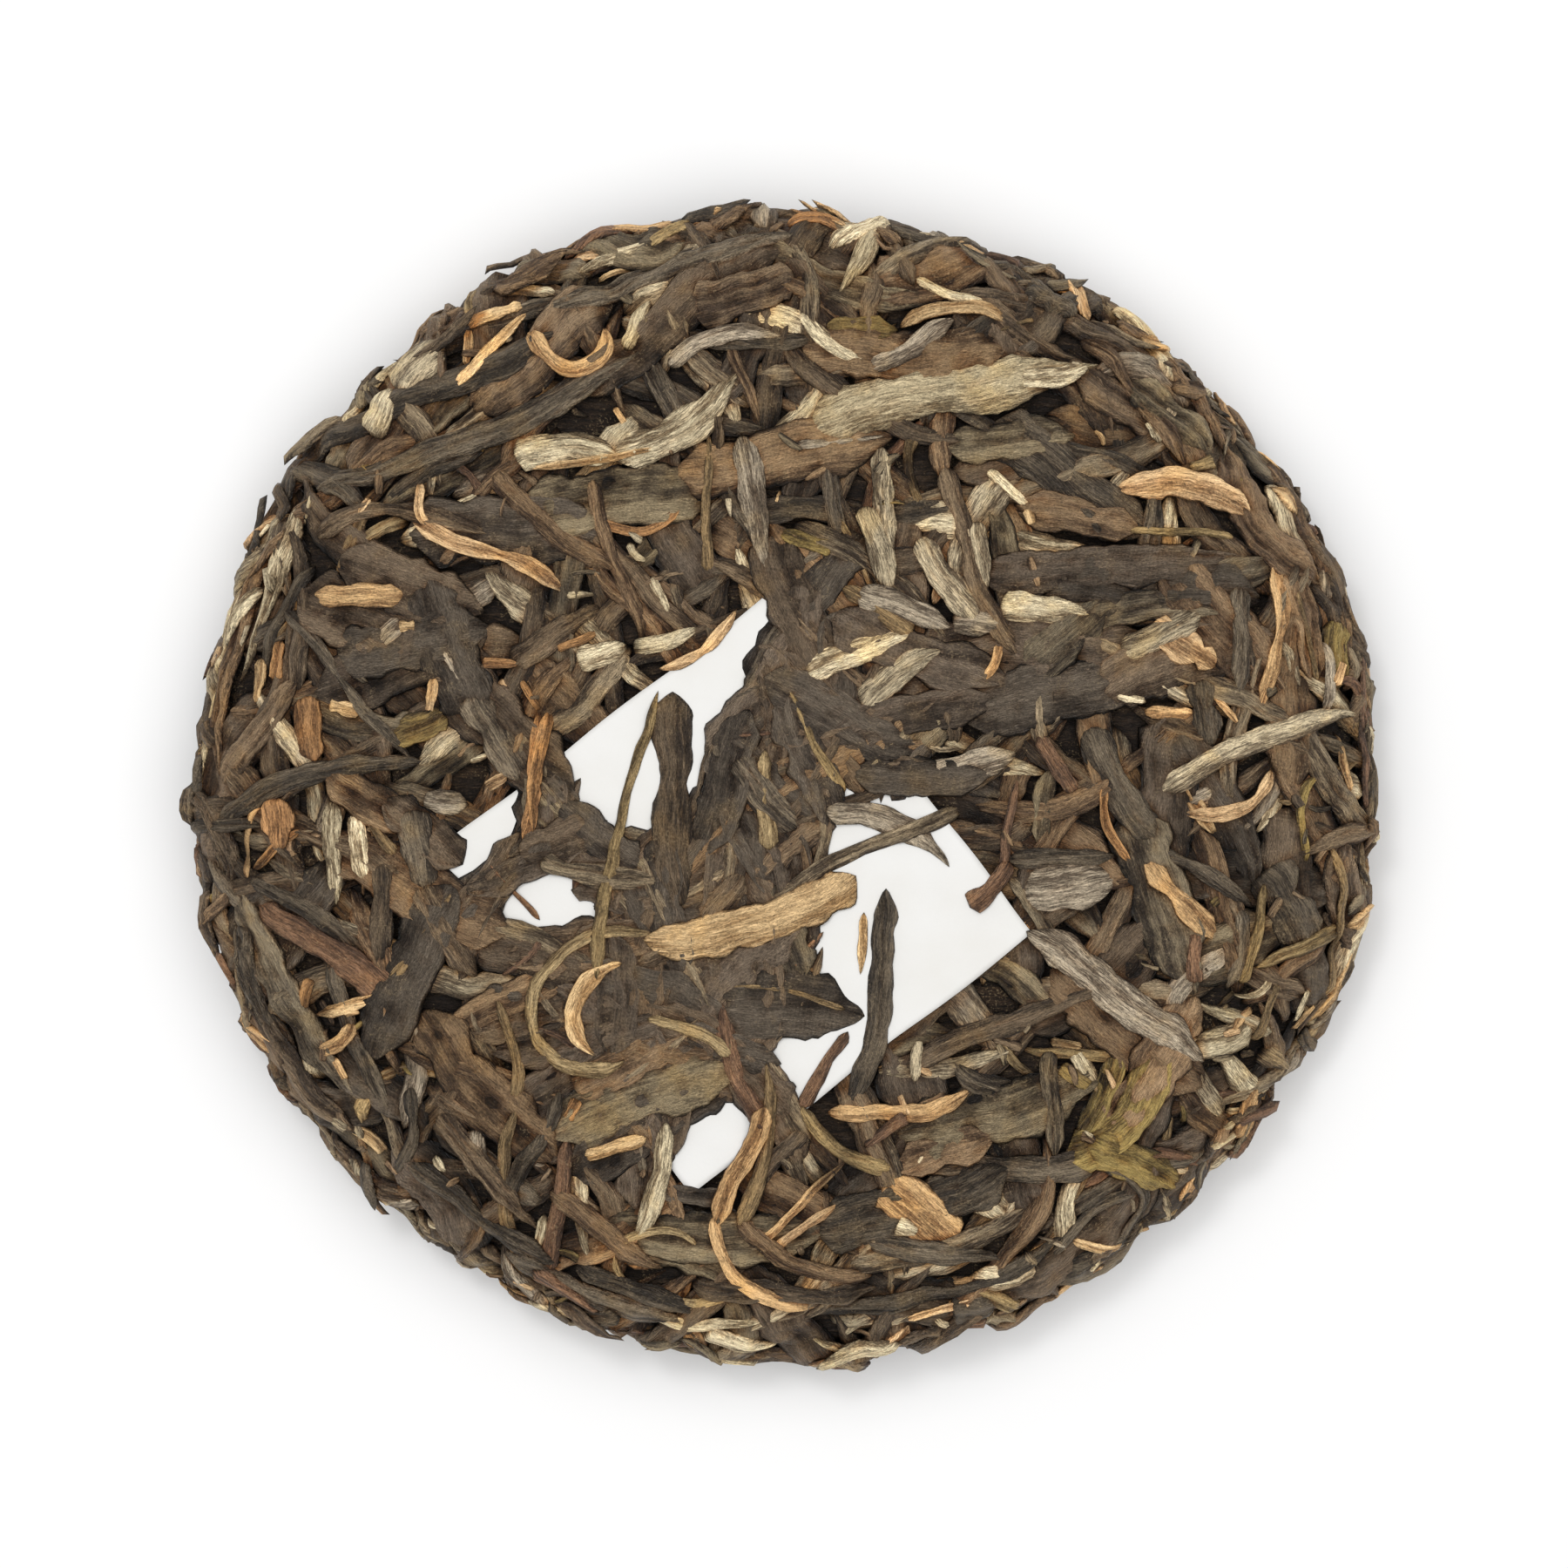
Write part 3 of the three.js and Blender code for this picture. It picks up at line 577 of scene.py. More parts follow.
# %% [markdown]
# Dark broad leaves cover the middle of the ticket and leave some white patches bare. The patches are given
# as outlines in millimetres, and a drawn leaf is only laid over the ticket where it keeps clear of them.

# %% Leaves over the ticket
# The share of a leaf that may lie over a patch.
MAY_COVER = 0.04
PATCHES = [
    [(-29.2, 3.9), (-17.0, 13.0), (-11.5, 16.0), (-9.0, 20.3), (-4.9, 24.4), (-1.3, 24.2), (-4.7, 20.5),
     (-6.6, 19.4), (-4.4, 15.5), (-9.6, 8.5), (-11.3, -0.4), (-14.0, -1.0), (-18.0, -5.8), (-20.5, -5.8),
     (-24.9, 1.6)],
    [(-44.7, -9.2), (-40.2, -4.3), (-33.8, -2.8), (-33.3, -4.3), (-38.2, -9.2), (-41.2, -12.2),
     (-43.7, -11.2)],
    [(-33.3, -12.2), (-28.9, -11.2), (-25.9, -14.2), (-25.9, -18.1), (-28.9, -18.6), (-32.3, -14.2)],
    [(-38.9, -15.8), (-37.6, -16.4), (-37.2, -20.1), (-38.4, -19.0)],
    [(13.1, -1.8), (18.6, -0.6), (20.2, -3.3), (25.5, -11.7), (24.5, -15.2), (26.5, -16.2),
     (28.4, -14.7), (31.4, -18.1), (25.5, -23.1), (19.1, -29.0), (10.2, -36.9), (3.7, -40.9),
     (2.3, -39.9), (0.5, -36.0), (-0.2, -31.5), (5.0, -30.5), (9.2, -30.0), (9.2, -23.1), (5.2, -22.6),
     (4.7, -19.1), (6.2, -12.2), (8.2, -9.2), (6.2, -4.5)],
    [(9.7, 8.0), (11.3, 7.8), (12.8, 5.0), (11.0, 4.7)],
    [(-0.7, 15.5), (1.3, 13.2), (-0.9, 13.2)],
    [(0.3, 2.6), (1.4, 2.6), (1.4, -2.0), (0.3, -2.5)],
    [(-14.0, -48.8), (-11.0, -41.4), (-6.6, -40.2), (-3.5, -42.5), (-3.5, -46.0), (-6.6, -49.7),
     (-8.6, -51.0), (-14.0, -49.7)],
    [(-9.8, -21.3), (-8.3, -20.8), (-7.9, -25.5), (-9.0, -27.0)],
]


def in_patch(x, y):
    """Whether places lie in any of the bare patches."""
    found = np.zeros(np.shape(x), bool)
    for patch in PATCHES:
        inside_this = np.zeros(np.shape(x), bool)
        for (x0, y0), (x1, y1) in zip(patch, patch[1:] + patch[:1]):
            crosses = (y0 > y) != (y1 > y)
            meets = x < (x1 - x0) * (y - y0) / (y1 - y0 + 1e-9) + x0
            inside_this ^= crosses & meets
        found |= inside_this
    return found


def covers_patch(u, v):
    return in_patch(u, v).mean() > MAY_COVER


def cover_ticket(count, mixture, size):
    """Lays drawn leaves over the ticket's covered places, the barest spot first."""
    heap = heaps["top"]
    done = 0
    for _ in range(count * 40):
        if done >= count:
            break
        x, y = rng.uniform(-46, 33, TICKET_SPOTS), rng.uniform(-53, 26, TICKET_SPOTS)
        fits = in_ticket(x, y, 1.0) & ~in_patch(x, y)
        if not fits.any():
            continue
        low = np.where(fits, heap.at(x, y) - paper_height(x, y), NO_SPOT)
        best = int(low.argmin())
        kind = rng.choice(list(mixture))
        lengths, widths = KINDS[kind][2:]
        length, width = rng.uniform(*lengths) * size, rng.uniform(*widths) * size
        heading = rng.uniform(0, 360)
        u0 = x[best] - 0.5 * length * math.cos(math.radians(heading))
        v0 = y[best] - 0.5 * length * math.sin(math.radians(heading))
        turns = (rng.normal(0, 14), rng.normal(0, 18))
        done += lay(kind, "top", u0, v0, heading, length, width, turns, bare=covers_patch, limit=-0.35)
    uncovered = heap.level < paper_height(grid_x, grid_y) + SKIN
    left_bare = in_ticket(grid_x, grid_y) & ~in_patch(grid_x, grid_y) & uncovered
    print("leaves laid over the ticket:", done, "covered places still bare:",
          int(left_bare.sum() * CELL * CELL), "mm2")


cover_ticket(70, "CCCCDCCCBC", 0.85)
cover_ticket(60, "CDCBCKCDCR", 0.5)

# %% [markdown]
# The leaves that catch the eye have places of their own. They were read from the photograph, in
# millimetres from the cake's middle: the kind, the x and y of one end, the way it points there, its length
# and width, and how many degrees it turns over its first and second half. A digit after the kind picks one
# of its colour pairs. They are laid last, from the rim inwards, so that they lie on top as they do on the
# real cake.

# %% Leaves with a place of their own
# The upper left.
TOP_LEFT = """
K -62 41.5 22 40 4 -6 12; C -27 50.5 25 34 6 25 -30; K -60 38 14 46 3.5 5 20; P -56.5 46 65 13 2.2 -10 -20
G -49.5 50.5 50 9 6; G -53 45 60 7 4; B -47 57 30 8 5; T -40.5 58.5 20 8 1.8; T -40 58.5 -95 5 1.3
T -42 50.5 40 14 1.6 15 -20; T -32.3 58.5 -80 16 2.3 75 120; P -20.3 55.5 62 7.5 2.2
T -28.2 67.4 18 9.5 1.5 -15 0; T -24.3 65.3 20 5 0.8; O -20 66.8 60 11 2.2 -20 -25
K -31 61 15 36 3.2 10 -20; G -36.3 64 -5 8 2 -10 -10; B -35 66 -8 11 4.5; B -12 61 15 14 6
G -15 53.5 45 17 2.3 -35 -20; D -6.8 56.3 -80 11 1.6 10 5; G -34.5 42 15 14 4 -15 -15
G -22 42 15 20 5 20 20; T -33 40.5 8 18 1; D -8.5 47.5 -92 5 1.6; O -9.6 45 -90 18 1.5 0 -3
G -5.5 45 -80 18 3.5; T -21.7 48.5 -60 3 0.8
"""

# The upper right.
TOP_RIGHT = """
A 0 72 20 8.5 2 -30 -35; P 12.5 73 -108 16 3 0 -25; D 13.5 72.3 -88 12 2.6 10 15
G 18.8 71.5 -75 7 2.2 -10 -20; T 16 67.8 35 3 1.4; A 20.8 70.4 -2 7.5 1.3 -10 -10
G 1.5 61 -55 12.5 2.2 20 20; G 10 53 20 13.5 2.6 10 5; P 16.5 65 -30 10.5 1.4 10 0
T 14.5 58.5 40 15 2 -40 -35; O 26.8 57.8 20 5.5 0.6; Y 5 58.3 0 9.5 3.2; G 1 43.5 8 12 1.2
B 20 43.5 6 17 5.5 0 -5; G 12.3 43.5 -100 15 2.8 15 15; P1 3 45.5 22 38 6.8 -15 10
G 29 52 -5 10 2.6 15 20; B 26 68 -65 9 5; K 30 63 -20 8 3; K 33 60 40 7 2.5; K 31 65 -60 7 2.6
T 34.5 63.8 0 4.5 1; D 40 62.5 -35 16 2.6 -10 -15; P 41.5 61.5 -52 15 4 -15 -12; G 46.5 47.2 -65 4 2
D 38 58 -45 22 2.5 -10 -10; O 51 40.5 15 4 2.2; T 60.5 44.2 -40 6 1.1; P 52.5 50.3 -3 3.5 0.9
D 48 55 -48 16 2.8 -8 -12; B 44 52 -40 14 5 0 -10
"""

# The right side.
RIGHT = """
B 56.5 44 -85 24 5.5 25 50; C 24 27.5 0 34 5.5 5 -5; B 36 20.5 25 21 4 -20 -20
O 41.5 32.5 6 15.5 1.3 -8 -12; T 42 38 12 18 4 -20 -30; T 46 20.5 -30 10 4.5; K 57.7 26 -90 15 3
B 64 28 -75 15 4 0 -5; T 61.8 29 -75 19 2 -25 0; T 45.3 9.8 0 6.5 1.6 -10 15; O 64.5 26 -72 13 0.9
P 69.8 28.5 -70 5.5 1.2; G 68.8 19 -82 11 1.5 -8 0; T 71.2 16.5 -115 4 1.2; D 72.5 12.5 66 6.5 1.3 20 30
R 70.5 13.8 8 10 2 -50 -60; G 47.5 -0.5 30 30 3.2 -5 -28; T 53.6 12.6 -50 6 1; K 52.5 14 -80 9 4
T 61.7 2.5 -100 14 2 -65 -20; Y 68 1.8 -150 13 1.3 70 -10; A 40.3 0.5 -85 11 1.3 12 25
K 47.5 -8 -15 14 2.2 -20 -5; K 57.8 -15 -85 11 2 -10 -20; R 52 -18 -90 7 2.2; K 61 -10 -60 12 6.5
O 60.8 -11.8 -100 13.5 1.7 -5 0; T 45.5 -9 -50 13.5 3.3 5 -10; O 59.5 -22.8 22 14 2.4 5 -35
O 69 -7 -62 21 1.6 -25 -25; P 61.5 -23.8 -95 6 1 -60 -50; G 52.5 -31.5 -165 10 0.8 60 10
Y 35.5 -46.5 12 21 5.5 40 30; Y 42 -33.5 -95 12 3.2 -20 -20; Y 38 -45 -18 15 5.5 -10 -10
O 62.5 -24 -105 9 1.4; G 67 -25.5 -108 5 1; D 61 -33.5 -35 6 3; P 54 -46 35 8 1.3 -10 -10
P 55.5 -43.5 20 7 1.2 10 10; P 56.5 -41.5 5 5 1.1; G3 30.5 -18 -32 29 4.8 -8 5
"""

# The middle.
MIDDLE = """
D 20 41 -75 27 2.8 0 25; D 1 33.5 -22 25 3 -15 -18; T 20.6 27.8 -110 5 1.5; Y -1 32.5 -20 8 2.2
Y 6.6 26.5 50 2.4 1.8; O 7 25.5 -32 11 3; G 2.5 14.5 25 15 3.4 -5 5; G 9.5 10.5 48 13 4 -15 -15
G 21 21.5 -10 7 3.5; T 27 18.5 -85 5.5 1.2 -25 -30; G 27 23 -5 12 4; G 25.5 40.5 -42 8 1.4
B 30 15 40 14 6; O 0.5 12.5 -62 15 1.4; G 18 1 20 12 4; R 32 7 -60 9 2.5; T -46.2 39 -98 6.5 1.3 10 50
T -47.3 34 -28 21.5 2.4 12 -25; A -24.5 34.5 -35 13 1.3 35 60; D -24.8 40 -80 25 2 15 -20
D -37 40 -48 20 3 8 15; D -35 15.5 35 14 3.5; G -17 27 -65 6.5 1.3; G -26.5 16 20 7 3.6
G -19.5 18 5 9 2.2 10 15; T -16 15.2 0 13 1.6 45 15; A -29 17.5 25 6 1.2; A -38.5 16 0 5 1.4
A -33.5 14 -65 5 1; A -31.2 10 -88 17 2 -3 -25; K -40 12 -65 13 4.5 5 5; T -38 0 35 3.5 1.6
R 29.5 1.5 -100 12 1.5; R 28.5 -9 -115 8 3.2 -15 -15; G1 17 32 -62 14 3.6 5 10; G1 10 36 -75 12 3.2
B3 29 36 -12 16 5; G1 42 17 28 12 3.6; G3 9 25 -22 13 3.4; G1 24 34 -80 9 2.6; B 33.5 2.5 -95 10 2.6
K 28 -9 3 14 2.6; G 30 -13 10 12 6; K 38.5 8 -65 17 4.5 5 5
"""

# The lower right.
LOWER_RIGHT = """
R 8 -30.7 -118 11.5 2 -5 0; T 5.3 -41 -2 19 2.4 5 30; O 2 -40 -60 15 2.4 25 25
T 12.5 -50 -35 12 6.5 -5 -10; P 13.8 -55 -20 3.5 2.6; R 10 -45.5 38 7 1.8; B 14 -48 15 13 5
D 15 -35.5 28 30 3 -8 -2; D 33.5 -33 -88 14 2.4; T 33.5 -32 -15 4.5 1.2; Y 34.8 -35 -42 5 2
G 17 -31.5 -95 6 1.5; D 8 -60.5 8 24 3 5 25; K 4 -66.5 2 34 2.6 12 25; K 34 -60 65 15 1.6 -20 -55
K 40 -48.3 5 19 1.6 -95 -110; T 36.5 -57.5 -25 8 1.4 15 15; O 24 -63.5 -30 7 2.6; T 15.3 -67.8 25 9.5 1
G 19 -67.5 -45 10 1.1 45 60; K 21 -66.5 10 6 4.5; T -3.5 -57.5 42 15.5 1.2; T -2 -59 39 11 1.3
P -17.8 -67.2 -8 16 2 10 5; G -10 -69 -30 10 3.2 10 10; O -11 -58 130 12 1.4 50 60
O -21.5 -58.5 -95 20 1.5 90 35; G -15 -42 -88 17 2.6 -15 -25; B -20 -32 -5 12 4; B -27 -38 25 16 6 5 -10
D 3 -42.5 -130 15 2.2 0 30; D -6 -54 -60 20 2.4 40 20; K -48 -47 -42 24 3 5 10; D -44 -41 -52 20 3
K -36 -59 -30 26 3.2 10 15; D -12 -63 -8 24 3 5 12; K 10 -57 -10 18 3; K -27 -61 -18 18 2.6
D -30 -51 -35 18 3
"""

# The left side.
LEFT = """
B -69.5 -13 -72 32 4.6 10 10; K -72 -4.5 40 28 3 -25 -18; A -68.5 -10.5 35 9 1.3; T -66 -2 -145 11 1 50 10
A -64.5 -1 -88 7 4; K -68.5 -11.5 -22 20 2.4 -10 -35; R -67 -14.5 -30 20 4.5 -5 -5; G -57.5 -1 -88 14 2.4
G -54.5 -3 -82 9 2.4; O -56 0 -50 11 1.6; D -51 -9 -92 14 3; O -42 -13 -118 14 1.6 -5 -10
B -58 2 -38 14 5.5 5 5; C -51 -1.5 -38 13 5.5; K -47.5 -2.5 -78 11 4.5; G3 -46 -1.2 -12 6 3
D -46 -12 -60 14 4; T -48.5 -24.3 -150 12.5 1.7 -8 -10; A -60 -23.8 -110 4.5 1.6
T -55 -29.5 -95 6.5 2 -50 -30; T -57.2 -34 -60 3.5 1; R -70 -29 -48 7 1.4 10 10
C -42 -12 -113 25 7.6 -5 15; O -36.6 -26.3 -68 14 1.8 -5 -35; O -33.5 -39.5 -115 24 2.2 25 35
K -28.5 -38 -95 18 2.3 -35 30; K -47.5 -37.5 -85 13 1.8 -10 -35; D -60 -44.5 -50 14 1.8 20 15
R -27.5 -44 -98 19 2.8 0 -10; P -30.5 -54 -105 7 1.4 5 0; T -26 -46.5 15 9 2 5 5; A -26 -39 -120 3.5 1.6
G -39.5 -43 -95 7 3; P -68.5 27 -118 14 2 10 5; P -72.5 14 -102 15 2.2 5 0; D -66 31 -112 32 2.6 10 20
K -60 28.5 -125 18 1.9 10 15; T -67 17 -100 6.5 1.9 5 30; A -64 19 -100 5.5 1.8; C -57 29 -20 20 8
C -57 17 10 20 7; C -46 27 -70 20 8; T -60 24.5 -3 12 3.1 3 5; D -60 32 35 24 2.6 -40 -20
G -65.5 28.5 -80 4 1.8; T -58 10.5 -10 4.5 2; K -70 -17 -76 22 3 5 12; D -66.5 -29 -60 20 3 5 10
T -44.3 14.3 -100 5 1.5; T -49 20.5 0 2.5 1.6; Y -50 6 25 8 4; G -43.5 18 -55 6.5 1.4
K -64 23 -48 26 1.8 -5 5; B -62 14 -125 17 3.4; A -60.8 12 -85 9 3.6; T -52.5 37 -115 3 0.9
"""

# Over the ticket.
OVER_TICKET = """
C -43 -13 22 17 4.2 -5 15; C -32 -5 15 12 5.5 5 5; C1 -28 -1 -40 13 5 5 5; D -31 -9 -20 16 3.4 10 10
C -22 -18 -88 16 6 0 -10; C1 -8 10 -120 20 6 20 -10; C 2 10 -80 18 6.5 10 -10; C1 -3 14 -30 22 7 0 20
C 6 6 20 22 6 -5 -10; C1 8 1 -10 18 5 10 15; C1 -16 -6 -85 18 5.5 5 5; B -1 -12 -80 13 5 5 5
C -10 -30 -30 14 5 10 10; D1 -14.2 12.3 -92 28 5.2 3 3; O -2.5 5 -92 13 2.4 5 5; K -6 4 -60 12 4 10 10
G 5 -2.8 -6 18 3.2 -10 -45; D 23 -2.5 -163 29 2.1 8 10; T 10 -15.6 -95 8 1.2
K 12.8 -12.6 -92 31 3.1 -2 -32; R -8 -27 -85 18 3 10 40; C1 -8.4 -27.2 4 18.5 9.4 -8 -12
O -7 -25 -4 15 0.8 -6 -12; O -17.5 -29 -8 12 2.1 -10 -30; O -2.4 -34.5 -86 22 2.2 -8 -35
T -2.5 -40 -100 17 2.6 -20 15; T -9 -54 -95 20 1.9 60 35; T -20.5 -22 190 16 2.4 60 80
O -16 -18.7 158 38 2.1 92 145; A -29.8 10 -97 16 1.8 -4 10; O -16 12.4 -107 38 1.9 3 12
T 9 -11 -146 28.5 5.4 -16 -22
"""
# Broad dark leaves that lie flat under the others, laid first.
BROAD = """
C 16 16 12 30 9 -8 -6; C 22 9 20 26 8 -10 -10; C 28 26 -6 32 8 4 -4; C 40 12 35 24 8 -20 -20
C 6 22 -30 24 7 10 10; C -62 24 -15 28 9 -10 10; C -48 32 10 26 9 -10 -10; C -60 12 15 24 8 10 -10
C -44 16 -50 24 9 5 10; B -34 34 20 26 8 -15 0; B -58 -6 -35 26 8 5 10; B -30 -44 30 26 8 -10 -10
B 14 -44 10 28 8 5 10; B 34 -22 -50 26 8 10 5; B 44 -2 -70 26 8 -5 10; B -14 40 5 28 8 10 -10
B 2 56 -10 26 7 10 5; K 26 46 -30 24 7 -10 5; B -40 48 35 24 7 10 -10; B 48 30 -60 24 8 10 10
B -20 -56 -10 26 7 10 15; K 4 -56 10 26 7 5 15; B -46 -28 -60 26 8 10 15; B 52 -26 -110 24 7 -10 -10
"""


# Where a broad leaf that would cover a bare patch is tried instead: how far aside, and which way. The last is
# its own place again, and is taken whatever the leaf covers there.
ASIDE = [(far, math.radians(way)) for far in (1.2, 2.4, 3.6) for way in range(0, 360, 60)]
NUDGES = [(0, 0)] + ASIDE + [(0, 1)]


def lay_rows(rows):
    """Lays the leaves of one table in its order."""
    for row in rows.replace("\n", ";").split(";"):
        parts = row.split()
        if not parts:
            continue
        kind, pair = parts[0][0], int(parts[0][1:]) if parts[0][1:] else None
        x, y, heading, length, width = map(float, parts[1:6])
        turns = [float(part) for part in parts[6:]] or (0, 0)
        for aside, way in NUDGES:
            keeps_clear = kind == "C" and (aside, way) != NUDGES[-1]
            u, v = chart_from_above(x + aside * math.cos(way), y + aside * math.sin(way))
            if lay(kind, "top", float(u), float(v), heading, length, width, turns, pair=pair,
                   bare=covers_patch if keeps_clear else None):
                break


before = len(laid)
for table in (BROAD, TOP_LEFT, TOP_RIGHT, RIGHT, LEFT, LOWER_RIGHT, MIDDLE, OVER_TICKET):
    lay_rows(table)
print("leaves with a place of their own:", len(laid) - before)

# %% [markdown]
# The underside was never in the photograph, but it shows whenever the cake is turned over. It is the same
# heap pressed flatter, and its heights along the rim are taken over from the top, so that the two faces
# meet without a gap.

# %% The underside
# The reaches from the middle of the top between which the underside takes over the top's heights.
SHARED_FROM, SHARED_TO = 60, 92
rows, columns = np.mgrid[0:heaps["under"].level.shape[0], 0:heaps["under"].level.shape[1]]
under_v, under_u = rows * CELL - HALF, columns * CELL - HALF
under_reach = np.hypot(under_u, under_v)
over_reach = LENGTH - under_reach
ratio = over_reach / np.maximum(under_reach, 1)
shared = (over_reach < SHARED_TO) & (over_reach > SHARED_FROM)
over_level = heaps["top"].at(under_u * ratio, under_v * ratio)
heaps["under"].level = np.where(shared, over_level, heaps["under"].level)
before = len(laid)
fill("under", "deep", 560, limit=-1.6)
fill("under", "middle", 520, limit=-0.95)
fill("under", "middle", 260, limit=-0.35)
print("leaves on the underside and lower rim:", len(laid) - before)

# %% [markdown]
# The rim is the roughest part: stubs of leaf that the cloth did not hold stand out a little. They are short
# leaves that start inside the heap and lift as they go, laid where the two charts meet.

# %% Stubs round the rim
before = len(laid)
for _ in range(150):
    kind = rng.choice(["D", "B", "K", "G", "R", "D", "T", "B"])
    reach, angle = EQUATOR["top"] - rng.uniform(2, 11), rng.uniform(0, 2 * math.pi)
    heading = math.degrees(angle) + rng.choice([-1, 1]) * rng.uniform(35, 100)
    length, width = rng.uniform(5, 12), rng.uniform(1.2, 3.0)
    lay(kind, "top", reach * math.cos(angle), reach * math.sin(angle), heading, length, width,
        (rng.normal(0, 20), rng.normal(0, 30)), "middle", limit=rng.uniform(0.0, 0.55),
        tuck=rng.uniform(-0.5, 0.5), lifted=max(0.0, rng.uniform(-2.4, 1.9)))
print("stubs round the rim:", len(laid) - before)

# %% [markdown]
# Crumbs and torn flakes fill the gaps between leaves. They are the same closed strips, only short, so the
# same function lays them, in the lowest spots that it finds.

# %% Crumbs
CRUMB_KINDS = ["B", "B", "G", "T", "B", "Y", "B", "D"]
before = len(laid)
for side, count in (("top", 170), ("under", 90)):
    for _ in range(count):
        kind = rng.choice(CRUMB_KINDS)
        reach = random_reach(side, EQUATOR[side], CRUMB_SPOTS)
        angle = rng.uniform(0, 2 * math.pi, CRUMB_SPOTS)
        u, v = reach * np.cos(angle), reach * np.sin(angle)
        low = heaps[side].at(u, v) + (NO_SPOT * in_ticket(u, v, 1.5) if side == "top" else 0)
        best = int(low.argmin())
        if low[best] > NO_SPOT / 2:
            # Every spot was on the ticket.
            continue
        lay(kind, side, u[best], v[best], rng.uniform(0, 360), rng.uniform(1.4, 5.5), rng.uniform(0.5, 1.5),
            (rng.normal(0, 25), rng.normal(0, 25)), "deep", limit=0.0)
        laid[-1]["piece"] = "crumbs"
print("crumbs:", len(laid) - before)

# %% [markdown]
# A leaf that nothing shows of only costs triangles. Each one is compared with the finished height map of
# its face, and those that lie under it nearly everywhere are left out. That also keeps the largest piece
# under 200,000 triangles.

# %% Leaving out what is buried
# How far under the finished heap a point still counts as seen, and the share of such points that a leaf
# needs to stay.
SEEN_DEPTH, SEEN_SHARE = 0.12, 0.05


def shows(leaf):
    """Whether enough of a leaf lies open. Leaves on top and crumbs always stay."""
    u, v, top = (leaf["rings"][..., i][:, :-1] for i in range(3))
    seen = float((top > heaps[leaf["side"]].at(u, v) - SEEN_DEPTH).mean())
    return leaf["rank"] == "show" or leaf["piece"] == "crumbs" or seen > SEEN_SHARE


kept = [leaf for leaf in laid if shows(leaf)]
print("leaves kept:", len(kept), "of", len(laid))

# %% [markdown]
# Every leaf of one kind goes into one mesh, built from arrays, because thousands of separate objects would
# be slow to open. Each leaf gets its own rectangle in one image map, so that a baked texture has room for
# all of them. Four values ride on the points: the ground colour and the tone of the fibres, both darkened
# with painted shade where the leaf lies low in the heap, the place on the leaf for its grain, and how the
# point lies, which is how high on its section, how deep among its neighbours and how far on a turned edge.

# %% Meshes from arrays
def strip_faces(steps, around, flip):
    """Faces of a closed strip with a point at both ends, and each corner's place in its own map."""
    faces, places = [], []
    for k in range(around):
        after = (k + 1) % around
        faces.append((0, 1 + k, 1 + after))
        places.append(((0, k + 0.5), (1, k), (1, k + 1)))
        for i in range(1, steps - 1):
            a, b = 1 + (i - 1) * around, 1 + i * around
            faces.append((a + k, b + k, b + after, a + after))
            places.append(((i, k), (i + 1, k), (i + 1, k + 1), (i, k + 1)))
        last = 1 + (steps - 2) * around
        faces.append((last + k, 1 + (steps - 1) * around, last + after))
        places.append(((steps - 1, k), (steps, k + 0.5), (steps - 1, k + 1)))
    if flip:
        faces, places = [f[::-1] for f in faces], [p[::-1] for p in places]
    totals = np.array([len(f) for f in faces])
    corners = np.array([c for f in faces for c in f])
    spots = np.array([p for place in places for p in place], float) / (steps, around)
    return totals, corners, spots


def blurred(level, reach):
    """A height map averaged over a few millimetres round each cell."""
    width = 2 * int(reach / CELL) + 1
    return smoothed(smoothed(level, width).T, width).T


# The lie of the heap near a point and further round it, for the shade in its crevices.
near_level = {side: blurred(heap.level, 0.8) for side, heap in heaps.items()}
wide_level = {side: blurred(heap.level, 2.6) for side, heap in heaps.items()}


def hollow_at(side, rings):
    """How deep each point lies among its neighbours, from 0 in the open to 1 in a crevice."""
    cells, z = heaps[side].cells(rings[..., 0], rings[..., 1]), rings[..., 2]
    near, wide = near_level[side][cells] - z, wide_level[side][cells] - z
    return np.clip(0.9 * near / 0.6 + 0.45 * wide / 1.1, 0, 1)


# Faces are the same for every leaf with as many rings and points, so they are made once.
shapes = {}


def leaf_mesh(leaf):
    """Points, faces and values of one leaf."""
    rings = leaf["rings"]
    steps, around = rings.shape[0] - 1, rings.shape[1]
    key = (steps, around, leaf["side"] == "under")
    if key not in shapes:
        shapes[key] = strip_faces(*key)
    totals, corners, spots = shapes[key]
    place = on_cake(leaf["side"], rings[..., 0], rings[..., 1], rings[..., 2])
    along = np.repeat(leaf["along"][:, None], around, axis=1)
    count = rings.shape[0] * around
    # Points that lie low in the heap darken the leaf's ground and tone, down to a quarter: painted shade. The
    # leaf's drawn shade is its own random brightness.
    deep = leaf["shade"] * np.clip((rings[..., 2].reshape(-1, 1) + 2.4) / 2.0, 0.25, 1)
    tint, tone = [(np.tile(leaf[name], (count, 1)) * deep).reshape(rings.shape) for name in ("own", "tone")]
    grain = np.stack([along, leaf["across"], np.full_like(along, leaf["number"])], axis=-1)
    lie = np.stack([leaf["rise"], hollow_at(leaf["side"], rings), leaf["turned"]], axis=-1)

    def closed(values):
        return np.vstack([values[0].mean(axis=0)[None], values[1:-1].reshape(-1, values.shape[-1]),
                          values[-1].mean(axis=0)[None]])

    return [closed(a) for a in (place, tint, tone, grain, lie)] + [totals, corners, spots]


def pack_rectangles(sizes, gap):
    """Places rectangles on shelves in a square, tallest first. Gives their corners and the square's side."""
    order = np.argsort(-sizes[:, 1])
    side = math.sqrt(((sizes + gap).prod(axis=1)).sum()) * 1.04
    places = np.zeros_like(sizes)
    x = y = shelf = 0.0
    for i in order:
        w, h = sizes[i] + gap
        if x + w > side:
            x, y, shelf = 0.0, y + shelf, 0.0
        places[i] = x + gap / 2, y + gap / 2
        x, shelf = x + w, max(shelf, h)
    return places, max(side, y + shelf)


